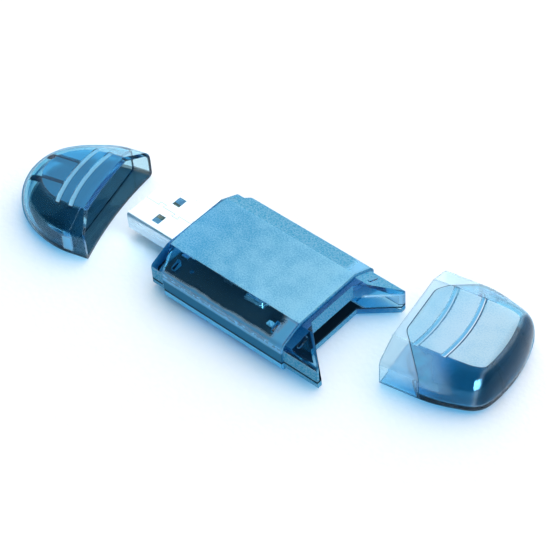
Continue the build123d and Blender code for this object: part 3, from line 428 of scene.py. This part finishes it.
def body_plastic(name, upper):
    """The two shells, with a dark parting line, painted shade on their mating faces in the mouth, and painted
    light on the far horn.

    The upper one has a frosted top, painted light on its shoulders and painted light and shade along its near
    side, and the lower one's near side is painted lighter.
    """
    work = clear_plastic(name, 0.40, 0.49)
    z, x, y = work.height(), work.along(), work.across()
    side = work.add("MapRange", (y, -13.7, -13.4, 1.0, 0.0), **SMOOTH)
    if upper:
        paint_shoulder_light(work)
        paint_side_shade_and_light(work, side)
        frost(work, work.on_top(), "#8FCCE6", "#4C9FC9", 0.12)
    else:
        # Painted light: the lower shell's near side is painted pale.
        work.lay(side, Roughness=0.3, Transmission_Weight=0.25, Base_Color=linear("#7AD2F8"))
    # Painted light: a pale window on the far horn, where light comes through from behind.
    window = work.both(
        work.band(x, 20.0, 26.5, 0.5),
        work.band(y, 7.0, 13.0, 0.5),
        work.band(z, 2.5, 5.4, 0.2),
    )
    work.lay(window, Roughness=0.3, Transmission_Weight=0.2, Base_Color=linear("#D8EEF8"))
    # Painted shade: the mating faces are painted near black on the near side of the mouth, where the socket
    # takes the light away; on upright faces the band is the parting line.
    shaded = work.add("MapRange", (y, 7.5, 7.0))
    shown = work.add("Math", (work.upright(), shaded), operation="MAXIMUM")
    below = 0.13 if upper else 0.35
    line = work.both(work.band(z, PARTING - below, PARTING + 0.13, 0.03), shown)
    work.lay(line, Roughness=0.6, Transmission_Weight=0.0, Base_Color=linear("#081018"))
    return finish_plastic(work)


def usb_cap_plastic():
    """Plug cap: polished, with painted highlights in its grooves, painted shade over its ribs and on its
    floor, and painted light at its lip.
    """
    work = clear_plastic("clear_blue_plug_cap", 0.6, 0.85)
    z = work.height()
    top = work.on_top()
    work.lay(top, Roughness=0.12, Transmission_Weight=0.6, Base_Color=linear("#3F9CD0"))
    depth, across = work.cap_place(USB_CAP_PLACE, -1)
    from_middle = work.add("Math", [across], operation="ABSOLUTE")
    painted_rib_shade = work.both(top, work.band(from_middle, 2.95, 3.85, 0.1), work.band(depth, 7.4, 15.0, 0.2))
    # Painted shade: dark lines on the top over the ribs.
    work.lay(painted_rib_shade, Roughness=0.2, Transmission_Weight=0.7, Base_Color=linear("#1F5273"))
    near_side = work.add("MapRange", (across, -11.5, -12.0))
    painted_light_box = work.both(near_side, work.band(depth, 0.2, 2.4, 0.3), work.band(z, 1.6, 5.4, 0.4))
    # Painted light: a pale box at the near side of the lip.
    work.lay(painted_light_box, Roughness=0.25, Transmission_Weight=0.4, Base_Color=linear("#8ED0F0"))
    painted_groove_highlight = work.groove_part(depth, across, USB_CAP_GROOVES, -1, 1)
    # Painted highlight: the grooves are painted pale.
    work.lay(painted_groove_highlight, Roughness=0.4, Transmission_Weight=0.3, Base_Color=linear("#8CCBEA"))
    floor = work.on_floor()
    # Painted shade: the floor is tinted dark, and darker still towards the closed end.
    work.lay(floor, Base_Color=(0.13, 0.14, 0.14, 1.0))
    deeper_painted_shade = work.both(floor, work.add("MapRange", (depth, 3.0, 8.0), **SMOOTH))
    work.lay(deeper_painted_shade, Base_Color=(0.10, 0.07, 0.055, 1.0))
    return finish_plastic(work)


def behind_seam(work, depth, across):
    """How far a spot on the card cap lies behind its seam, which is straight and then slants back."""
    from_middle = work.add("Math", [across], operation="ABSOLUTE")
    past_corner = work.add("Math", (from_middle, SEAM_CORNER), operation="SUBTRACT")
    slant = work.add("Math", (past_corner, 0.0, 1.5), operation="SMOOTH_MAX")
    seam = work.add("Math", (slant, SEAM_SLANT, SEAM_FRONT), operation="MULTIPLY_ADD")
    seam = work.add("Math", (seam, SEAM_DEEPEST), operation="MINIMUM")
    return work.add("Math", (depth, seam), operation="SUBTRACT")


def card_cap_plastic():
    """Card cap: frosted top flat, pale thin lip up to a moulded seam, and painted light and shade: in the
    grooves, behind the seam, and in the closed end and its floor.
    """
    work = clear_plastic("clear_blue_card_cap", 0.72, 0.9)
    z = work.height()
    top = work.on_top()
    frost(work, top, "#C9E5F2", "#9ACEE6", 0.2)
    depth, across = work.cap_place(CARD_CAP_PLACE, 1)
    for low, high, see, colour in CARD_GROOVE_STRIPS:
        painted_strip = work.groove_part(depth, across, CARD_CAP_GROOVES, low, high)
        # Painted light and shade in strips along the grooves.
        work.lay(painted_strip, Roughness=0.4, Transmission_Weight=see, Base_Color=linear(colour))
    floor = work.both(work.on_floor(), work.add("MapRange", (depth, 7.0, 13.0), **SMOOTH))
    # Painted shade: the floor is tinted grey towards the closed end.
    work.lay(floor, Base_Color=(0.36, 0.38, 0.36, 1.0))
    grazing = work.add("LayerWeight", {"Blend": 0.5}, "Facing")
    faced = work.add("MapRange", (grazing, 0.72, 0.9, 1.0, 0.0), **SMOOTH)
    far_enough = work.add("MapRange", (depth, 18.6, 20.0), **SMOOTH)
    painted_shade_end = work.both(faced, far_enough, work.band(z, 2.5, 8.8, 0.4))
    # Painted shade: the closed end is painted dark where it is seen face on.
    work.lay(painted_shade_end, Roughness=0.15, Transmission_Weight=0.6, Base_Color=linear("#1C4A66"))
    behind = behind_seam(work, depth, across)
    line = work.band(behind, -0.1, 0.1, 0.04)
    lip = work.both(work.add("MapRange", (behind, -0.1, 0.0, 1.0, 0.0)), work.add("MapRange", (z, 2.0, 6.0)))
    work.lay(lip, Transmission_Weight=0.72, Base_Color=linear("#EEF7FC"))
    fading = work.add("MapRange", (behind, 1.0, 9.0, 1.0, 0.0), **SMOOTH)
    past_seam = work.add("MapRange", (behind, 0.0, 0.1))
    painted_highlight_band = work.both(fading, past_seam, work.band(z, 4.4, 8.9, 0.5), work.grain(2.5, 0.6, 1.0))
    # Painted highlight: a pale band on the shoulder behind the seam, fading towards the closed end.
    work.lay(painted_highlight_band, Roughness=0.25, Transmission_Weight=0.5, Base_Color=linear("#95D6EC"))
    outside = work.add("MapRange", (z, 0.3, 0.4))
    work.lay(work.both(line, outside), Roughness=0.4, Transmission_Weight=0.1, Base_Color=linear("#1B4663"))
    return finish_plastic(work)


def rib_plastic():
    """The ribs inside the caps, painted nearly black: painted shade for the light caught in them when seen
    edge on.
    """
    work = Finish(bpy.data.materials.new("clear_blue_rib"))
    # Painted shade: the ribs' clear plastic is painted nearly black.
    shades = {0: work.grain(0.6), 6: linear("#0C2232"), 7: linear("#15374F")}
    work.start(IOR=PLASTIC_IOR, Roughness=0.25, Base_Color=work.add("Mix", shades, 2, data_type="RGBA"))
    work.start(Specular_IOR_Level=PLASTIC_GLOSS, Specular_Tint=linear(PLASTIC_GLOSS_TINT))
    return work.owner


def moulded(name, colour, darker, roughness, grain_mm, sheen=0.0, painted_glow=0.0):
    """Moulded or printed stuff with a fine uneven surface; the last argument gives a painted glow, standing
    for light that comes in through it.
    """
    work = Finish(bpy.data.materials.new(name))
    work.start(Roughness=roughness, Coat_Weight=sheen)
    # Painted light: the emission is a glow in the material's own colour.
    work.start(Emission_Color=linear(colour), Emission_Strength=painted_glow)
    shades = {0: work.grain(grain_mm), 6: linear(darker), 7: linear(colour)}
    mixed = work.add("Mix", shades, 2, data_type="RGBA")
    dents = {"Height": work.grain(grain_mm / 2), "Distance": grain_mm / 20 * MM, "Strength": 0.3}
    work.start(Base_Color=mixed, Normal=work.add("Bump", dents))
    return work.owner


def metal(name, colour, roughness, streak_mm):
    """Rolled or plated metal with faint streaks along X."""
    work = Finish(bpy.data.materials.new(name))
    drawn_out = work.add("Mapping", {"Vector": work.point, "Scale": (0.06, 1.0, 1.0)})
    streaks = work.add("TexNoise", {"Vector": drawn_out, "Scale": 1 / (streak_mm * MM), "Detail": 3.0})
    uneven = work.add("MapRange", (streaks, 0.2, 0.8, roughness * 0.8, roughness * 1.25), **SMOOTH)
    dents = {"Height": streaks, "Distance": 0.004 * MM, "Strength": 0.4}
    work.start(Base_Color=linear(colour), Metallic=1.0, Roughness=uneven, Normal=work.add("Bump", dents))
    return work.owner


def dress(node, material):
    """Gives a CAD node's object one material."""
    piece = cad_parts[node]
    piece.data.materials.clear()
    piece.data.materials.append(material)
    for face in piece.data.polygons:
        face.material_index = 0


def resample(points, count):
    """The same path with evenly spaced points, read off against the length walked along it."""
    steps = np.hypot(*np.diff(points, axis=0).T)
    along = np.concatenate([[0], np.cumsum(steps)])
    want = np.linspace(0, along[-1], count)
    return np.stack([np.interp(want, along, points[:, i]) for i in range(2)], axis=1)


def eased(share):
    """A share from 0 to 1 that starts and stops gently: its square, times three less twice itself."""
    share = np.clip(share, 0, 1)
    return share * share * (3 - 2 * share)


def rounded_path(corners, radii):
    """A path with an arc at each inner corner, from the first arc's start to the last one's end.

    An arc's centre lies on its corner's bisector, at the radius over the sine of half the corner's angle.
    """
    path = []
    share = np.linspace(0, 1, 12)[:, None]
    for i, radius in enumerate(radii):
        before, corner, after = (np.array(corners[i + k], float) for k in range(3))
        back = (before - corner) / np.linalg.norm(before - corner)
        on = (after - corner) / np.linalg.norm(after - corner)
        half = math.acos(np.clip(back @ on, -1, 1)) / 2
        centre = corner + (back + on) / np.linalg.norm(back + on) * radius / math.sin(half)
        start = corner + back * radius / math.tan(half) - centre
        end = corner + on * radius / math.tan(half) - centre
        turn = start * (1 - share) + end * share
        path.append(centre + turn / np.linalg.norm(turn, axis=1, keepdims=True) * radius)
    return np.concatenate(path)


def section_curves(wall):
    """Inset, slope share and height along a cap's section: at its straight sides and at its round end.

    The straight section is the body's own outline with three arcs. The round one is a small arc at the
    floor, a short upright and a quarter ellipse up to the top. A wall greater than 0 gives the inside of a
    wall that thick.
    """
    run = CAP_HALF - TOP_HALF
    slope = math.atan2(BODY_TOP - SHOULDER, run)
    top_in = math.tan(slope / 2) * wall
    shoulder = SHOULDER - math.tan((math.pi / 2 - slope) / 2) * wall
    ceiling = BODY_TOP - wall
    corners = [(run, wall), (wall, wall), (wall, shoulder), (run + top_in, ceiling), (2 * run, ceiling)]
    radii = [max(radius - wall, LEAST_SIDE_RADIUS) for radius in SIDE_RADII]
    side = resample(rounded_path(corners, radii), SIDE_STEPS)
    full = run + top_in - wall
    turn = np.linspace(0, math.pi / 2, 60)
    low_radius = max(END_RADIUS - wall, LEAST_END_RADIUS)
    low = np.stack([wall + low_radius * (1 - np.sin(turn)), wall + low_radius * (1 - np.cos(turn))], axis=1)
    rise = END_RISE_FROM + (ceiling - END_RISE_FROM) * np.sin(turn)
    high = np.stack([wall + full * (1 - np.cos(turn)), rise], axis=1)
    end = resample(np.concatenate([low, high]), SIDE_STEPS)
    curves = []
    for path in (side, end):
        upper = path[:, 1] > SLOPE_FROM + wall / 2
        share = np.where(upper, np.maximum(path[:, 0] - wall, 0) / run, 0)
        inset = np.where(upper, wall, path[:, 0])
        curves.append(np.stack([inset, share, path[:, 1]], axis=1))
    return curves


def cap_sections(base, normal, top, spine, roundness, wall):
    """Upright sections of a cap, from the middle of its floor, round its side, to the middle of its top.

    A point of the side lies at the base outline, plus its inset along the normal, plus its slope share of the
    way to the top outline. The floor and the roof run evenly from the side to the middle line. Roundness
    mixes the straight section, at 0, with the round one, at 1.
    """
    side, end = section_curves(wall)
    mix = side * (1 - roundness[:, None, None]) + end * roundness[:, None, None]
    plan = base[:, None] + normal[:, None] * mix[..., :1] + (top - base)[:, None] * mix[..., 1:2]
    ring = np.concatenate([plan, mix[..., 2:]], axis=2)
    first, last = ring[:, :1], ring[:, -1:]
    floor_share = np.linspace(0, 1, BOTTOM_STEPS)[None, :-1, None]
    roof_share = np.linspace(0, 1, TOP_STEPS)[None, 1:, None]
    floor_middle = np.concatenate([spine[:, None], first[..., 2:]], axis=2)
    roof_middle = np.concatenate([spine[:, None], last[..., 2:]], axis=2)
    floor = floor_middle * (1 - floor_share) + first * floor_share
    roof = last * (1 - roof_share) + roof_middle * roof_share
    return np.concatenate([floor, ring, roof], axis=1)


def straight_sections(start, end, count, wall):
    """Sections of a cap's straight part, spread evenly between two curves.

    Each curve gives the depth from the place across and the height.
    """
    one = [np.array([row]) for row in ((0.0, -CAP_HALF), (0.0, 1.0), (0.0, -TOP_HALF), (0.0, 0.0))]
    y, z = cap_sections(*one, np.zeros(1), wall)[0, :, 1:].T
    share = np.linspace(0, 1, count)[:, None]
    depth = start(y, z) * (1 - share) + end(y, z) * share
    return np.stack(np.broadcast_arrays(depth, y, z), axis=2)


def flat_at(depth):
    """A curve that lies at one depth all over the section."""
    return lambda y, z: depth + 0 * y


def cap_surface(outline, straight_end, rim, seam, thin):
    """A cap's near half: inside from the closed end to the rim, then outside back to the closed end."""
    base, top, spine, roundness = outline
    ahead = np.gradient(base, axis=0)
    normal = np.stack([-ahead[:, 1], ahead[:, 0]], axis=1)
    normal /= np.linalg.norm(normal, axis=1)[:, None]
    normal[-1] = (-1, 0)
    past = [part[1:] for part in (base, normal, top, spine, roundness)]
    stop = flat_at(straight_end)
    return np.concatenate([
        cap_sections(*past, WALL)[::-1],
        straight_sections(stop, seam, INSIDE_STEPS, WALL),
        straight_sections(seam, rim, LIP_STEPS, thin),
        straight_sections(rim, stop, OUTSIDE_STEPS, 0),
        cap_sections(*past, 0),
    ])


def cap_mesh(name, rings, place, forward):
    """Closed mesh from a near half and its mirror image, turned and set down where the cap lies.

    Each section is joined to the next by quads, and points that two halves or sections share are merged.
    """
    count, around = rings.shape[:2]
    near = rings.reshape(-1, 3) * (forward, 1, 1)
    points = np.concatenate([near, near * (1, -1, 1)])
    first = (np.arange(count - 1)[:, None] * around + np.arange(around - 1)).ravel()
    quads = np.stack([first, first + around, first + around + 1, first + 1], axis=1)[:, ::-forward]
    quads = np.concatenate([quads, quads[:, ::-1] + len(near)])
    x, y, yaw = place
    c, s = math.cos(math.radians(yaw)), math.sin(math.radians(yaw))
    turned = points @ np.array([(c, s, 0), (-s, c, 0), (0, 0, 1)]) + (x, y, 0)
    mesh = bpy.data.meshes.new(name)
    mesh.from_pydata((turned * MM).tolist(), [], quads.tolist())
    work = bmesh.new()
    work.from_mesh(mesh)
    bmesh.ops.remove_doubles(work, verts=work.verts, dist=0.002 * MM)
    bmesh.ops.dissolve_degenerate(work, edges=work.edges, dist=0.001 * MM)
    bmesh.ops.recalc_face_normals(work, faces=work.faces)
    work.to_mesh(mesh)
    work.free()
    mesh.shade_smooth()
    mesh.set_sharp_from_angle(angle=math.radians(SHARP_DEGREES))
    piece = bpy.data.objects.new(name, mesh)
    bpy.context.scene.collection.objects.link(piece)
    return piece


def cut_grooves(rings, places, bulge, width):
    """Arc grooves across the outside of the top: the height drops smoothly near each arc's middle line.

    The middle line is a parabola across the cap. The drop is the groove's depth times an eased share, which
    falls from 1 to 0 over a quarter of the width at each edge.
    """
    x, y = rings[..., 0], rings[..., 1]
    depth = GROOVE_DEPTH
    for place in places:
        middle = place + bulge * (1 - (y / GROOVE_REACH) ** 2)
        off = np.abs(x - middle) / (width / 2)
        cut = eased((1.25 - off) / 0.5) * np.clip((GROOVE_REACH + 0.15 - np.abs(y)) / 0.3, 0, 1)
        z = rings[..., 2]
        rings[..., 2] = np.where(z > BODY_TOP - depth - 0.1, np.minimum(z, BODY_TOP - depth * cut), z)


def rib(name, outline, across, width, place, forward):
    """Upright web inside a cap: its outline in depth and height, carried over its width and bevelled."""
    x, y, yaw = place
    c, s = math.cos(math.radians(yaw)), math.sin(math.radians(yaw))
    flat = np.array(outline)
    count = len(flat)
    depth = np.tile(flat[:, 0] * forward, 2)
    side = np.repeat([across - width / 2, across + width / 2], count)
    points = np.stack([x + c * depth - s * side, y + s * depth + c * side, np.tile(flat[:, 1], 2)], axis=1)
    edge = np.arange(count)
    after = (edge + 1) % count
    walls = np.stack([after, edge, edge + count, after + count], axis=1)
    faces = [edge.tolist(), (edge[::-1] + count).tolist(), *walls.tolist()]
    mesh = bpy.data.meshes.new(name)
    mesh.from_pydata((points * MM).tolist(), [], faces)
    work = bmesh.new()
    work.from_mesh(mesh)
    bmesh.ops.recalc_face_normals(work, faces=work.faces)
    work.to_mesh(mesh)
    work.free()
    piece = bpy.data.objects.new(name, mesh)
    bpy.context.scene.collection.objects.link(piece)
    bevel = piece.modifiers.new("edges", "BEVEL")
    bevel.width = RIB_BEVEL * MM
    bevel.segments = 2
    return piece


def fan(centre, angles, radius):
    """Points on an arc in plan; an angle is measured from straight across towards the closed end."""
    return np.array(centre) + np.stack([np.sin(angles), -np.cos(angles)], axis=1) * radius


def curved_rim(y, z):
    """Depth of the plug cap's rim: upright, then an arc that sweeps back, turned about a far upright axis."""
    rise = BODY_TOP - RIM_TURN_HEIGHT
    radius = (rise * rise + RIM_SWEEP * RIM_SWEEP) / (2 * RIM_SWEEP)
    up = np.clip(z - RIM_TURN_HEIGHT, 0, rise)
    profile = RIM_SIDE_REACH - (radius - np.sqrt(radius**2 - up**2))
    return -(RIM_PLAN_RADIUS - np.sqrt((RIM_PLAN_RADIUS - profile) ** 2 - y**2))


def usb_cap_surface():
    """Plug cap: in plan a gentle side arc runs on into an end arc, and the rim sweeps back as it rises."""
    end_radius = USB_END_SHARE * CAP_HALF
    straight = USB_STRAIGHT
    end_centre = USB_DOME - end_radius
    side_radius = (CAP_HALF**2 + end_centre**2 - end_radius**2) / (2 * (CAP_HALF - end_radius))
    side_centre = side_radius - CAP_HALF
    turn = math.atan2(end_centre, side_centre)
    run = CAP_HALF - TOP_HALF
    side = np.linspace(0, turn, 60)
    end = np.linspace(turn, math.pi / 2, 44)[1:]
    side_middle, end_middle = (straight, side_centre), (straight + end_centre, 0.0)
    base = np.concatenate([fan(side_middle, side, side_radius), fan(end_middle, end, end_radius)])
    top = np.concatenate([fan(side_middle, side, side_radius - run), fan(end_middle, end, end_radius - run)])
    spine = np.zeros_like(base)
    spine[:, 0] = straight + np.concatenate([side_centre * np.tan(side), np.full(len(end), end_centre)])
    roundness = np.concatenate([eased(side / turn / 0.75), np.ones(len(end))])

    outline = (base, top, spine, roundness)
    rings = cap_surface(outline, straight, curved_rim, flat_at(USB_LIP_DEPTH), USB_LIP_WALL)
    cut_grooves(rings, *USB_CAP_GROOVES)
    return rings


def smoothed(path, window):
    """The path with its corner rounded off by two moving averages, over a window and over half of it.

    For the averages, the path goes on turned half round at its start and mirrored at its end.
    """
    before = path[0] - (path[1 : window + 1] - path[0])[::-1]
    after = path[-window - 1 : -1][::-1] * (1, -1)
    long = np.concatenate([before, path, after])
    kernel = np.convolve(np.ones(window), np.ones(window // 2))
    kernel /= kernel.sum()
    out = np.stack([np.convolve(long[:, i], kernel, mode="same") for i in range(2)], axis=1)
    return out[window : window + len(path)]


def card_outline(half, end_half, length, window):
    """Near half of the card cap's plan after its straight part: a bowed side, a round corner, a bowed end.

    The side is part of a parabola, through a point beside its middle, and the end is part of another.
    """
    corner = np.array([length - end_half**2 / CARD_END_BOW, -end_half])
    start = np.array([CARD_BEND, -half])
    s = np.linspace(0, 1, 70)[:, None]
    beside = np.array([(CARD_BEND + corner[0]) / 2, -(half - (half - end_half) / 4)])
    control = 2 * beside - (start + corner) / 2
    side = (1 - s) ** 2 * start + 2 * s * (1 - s) * control + s**2 * corner
    y = -end_half * (1 - s[1:, 0])
    end = np.stack([length - y**2 / CARD_END_BOW, y], axis=1)
    return smoothed(np.concatenate([side, end]), window)


def lip_seam(y, z):
    """Depth of the card cap's seam: even in the middle, then slanting back evenly to its deepest place."""
    slant = np.logaddexp(0, np.abs(y) - SEAM_CORNER)
    return np.minimum(SEAM_FRONT + SEAM_SLANT * slant, SEAM_DEEPEST)


def card_cap_surface():
    """Card cap: its top edge lies well inside its outline, and its lip is thin up to the seam."""
    base = card_outline(CAP_HALF, *CARD_BASE)
    top = card_outline(TOP_HALF, *CARD_TOP)
    reach = (top[:, 0] - CARD_BEND) * CARD_SPINE_REACH / (top[-1, 0] - CARD_BEND)
    spine = np.stack([CARD_BEND + reach, np.zeros(len(top))], axis=1)
    outline = (base, top, spine, eased((base[:, 0] - CARD_ROUND_FROM) / CARD_ROUND_OVER))
    rings = cap_surface(outline, CARD_BEND, flat_at(0), lip_seam, CARD_LIP_WALL)
    cut_grooves(rings, *CARD_CAP_GROOVES)
    return rings


def make_floor():
    """The white table under the reader."""
    mesh = bpy.data.meshes.new("floor")
    far = TABLE_REACH
    corners = [(-far, -far, 0), (far, -far, 0), (far, far, 0), (-far, far, 0)]
    mesh.from_pydata(corners, [], [(0, 1, 2, 3)])
    floor = bpy.data.objects.new("floor", mesh)
    bpy.context.scene.collection.objects.link(floor)
    floor.location.z = -TABLE_DROP * MM
    mesh.materials.append(moulded("white_table", "#FFFFFF", "#FDFEFF", 0.6, 2.0))


def make_light():
    """White light from the screen behind, blue light from the rest of the room, and a small window."""
    world = bpy.data.worlds.new("studio")
    bpy.context.scene.world = world
    room = Finish(world)
    way = room.add("TexCoord", out="Generated")
    facing = room.add("VectorMath", (way, SCREEN_DIRECTION), "Value", operation="DOT_PRODUCT")
    share = room.add("MapRange", (facing, *SCREEN_EDGE), **SMOOTH)
    sides = {0: share, 6: (*ROOM_LIGHT, 1.0), 7: (*SCREEN_LIGHT, 1.0)}
    room.start(Color=room.add("Mix", sides, 2, data_type="RGBA"))
    bpy.context.scene.view_settings.view_transform = "Standard"
    lamp = bpy.data.lights.new("small_window", "AREA")
    lamp.shape = "RECTANGLE"
    lamp.size, lamp.size_y = WINDOW_SIZE
    lamp.energy = WINDOW_POWER
    holder = bpy.data.objects.new("small_window", lamp)
    toward = Vector(WINDOW_DIRECTION).normalized()
    holder.location = toward * WINDOW_DISTANCE
    holder.rotation_euler = toward.to_track_quat("Z", "Y").to_euler()
    holder.visible_diffuse = False
    holder.visible_transmission = False
    bpy.context.scene.collection.objects.link(holder)


def part_looks():
    """The material of every CAD node, by the node's name."""
    # Glass laminate under dark, slightly glossy lacquer: nearly black, with a soft sheen
    board = moulded("board_laminate", "#060E15", "#03070B", 0.35, 1.2, 0.2)
    # Black moulding from a spark-eroded tool: matt, with hardly any gloss
    black = moulded("black_insulator", "#0E1419", "#080C10", 0.45, 0.3)
    # Translucent moulding: light blue, with a faint painted glow for the light that comes in, as the latch
    # holes look in the photograph
    tongue = moulded("translucent_insulator", "#7CC0E6", "#6FB6DE", 0.4, 0.3, 0.0, 0.35)
    # Gold plated on stamped springs: satin, deep yellow
    gold = metal("gold_plate", "#E0B65C", 0.4, 0.3)
    # A very thin gold flash over nickel: satin, pale
    pale_gold = metal("thin_gold_flash", "#D9D3B4", 0.45, 0.3)
    # Dipped tin on bent leads: bright grey
    tin = metal("tinned_leads", "#BFC6CC", 0.3, 0.2)
    # Epoxy with mineral filler, moulded: dark and matt
    resin = ("#15181B", "#0C0E10", 0.5, 0.15)
    return {
        "upper_shell": body_plastic("clear_blue_frosted_top", True),
        "lower_shell": body_plastic("clear_blue_plastic", False),
        "usb_cap": usb_cap_plastic(),
        "card_cap": card_cap_plastic(),
        # Rolled steel sheet, folded: bright, with faint streaks along the plug
        "usb_plug_shell": metal("plug_steel", "#BFD3DF", 0.3, 0.4),
        "usb_tongue": tongue,
        "usb_contacts": pale_gold,
        # Reflowed tin alloy: smooth, slightly dull
        "plug_solder": metal("solder", "#C6CCD2", 0.35, 0.5),
        "circuit_board": board,
        "card_socket_frame": black,
        # Rolled steel sheet, seen through blue plastic: bluish grey
        "card_socket_cover": metal("socket_steel", "#7FA6C0", 0.32, 0.4),
        "card_contacts": gold,
        "detect_switch": gold,
        "protect_switch": gold,
        "controller_chip": moulded("chip_resin", *resin),
        "controller_leads": tin,
        # Drawn metal lid: smooth and bright
        "crystal": metal("crystal_can", "#C8CDD2", 0.28, 0.4),
        "regulator_body": moulded("regulator_resin", *resin),
        "regulator_leads": tin,
        # Clear cast epoxy lens: pale and glossy
        "activity_led": moulded("led_lens", "#EAF3F6", "#D5E6EC", 0.2, 0.5, 0.5),
        # Yellow moulded epoxy case: satin
        "tantalum_capacitor": moulded("tantalum_yellow", "#D9AE3C", "#C99B2E", 0.4, 0.4),
        # Fired ceramic: tan, satin
        "ceramic_capacitors": moulded("ceramic_tan", "#B9976A", "#A78458", 0.35, 0.2),
        # Printed glass film over fired ceramic: black, slightly glossy
        "chip_resistors": moulded("resistor_black", "#16181C", "#0E1013", 0.3, 0.2),
        # Pressed and fired iron oxide: dark grey, satin
        "ferrite_beads": moulded("ferrite_grey", "#4B4F55", "#3D4146", 0.4, 0.2),
    }


def show_cap(node, rings, place, forward, material):
    """Shows a cap as its smooth surface in place of the faceted solid."""
    piece = cap_mesh(node + "_smooth", rings, place, forward)
    piece.data.materials.append(material)
    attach(piece, "root")
    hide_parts(node)


def show_ribs(name, outline, spacing, place, forward, material):
    """Shows the two ribs inside a cap, which its smooth surface leaves out."""
    for side, across in (("near", -spacing / 2), ("far", spacing / 2)):
        piece = rib(f"{name}_{side}", outline, across, RIB_WIDTH, place, forward)
        piece.data.materials.append(material)
        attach(piece, "root")


def dress_all():
    """Gives every node its look, and adds the smooth caps and their ribs."""
    looks = part_looks()
    for node, material in looks.items():
        dress(node, material)
    show_cap("usb_cap", usb_cap_surface(), USB_CAP_PLACE, -1, looks["usb_cap"])
    show_cap("card_cap", card_cap_surface(), CARD_CAP_PLACE, 1, looks["card_cap"])
    dark = rib_plastic()
    show_ribs("usb_cap_rib", USB_RIB, USB_RIB_SPACING, USB_CAP_PLACE, -1, dark)
    show_ribs("card_cap_rib", CARD_RIB, CARD_RIB_SPACING, CARD_CAP_PLACE, 1, dark)


make_camera()
make_floor()
make_light()
dress_all()
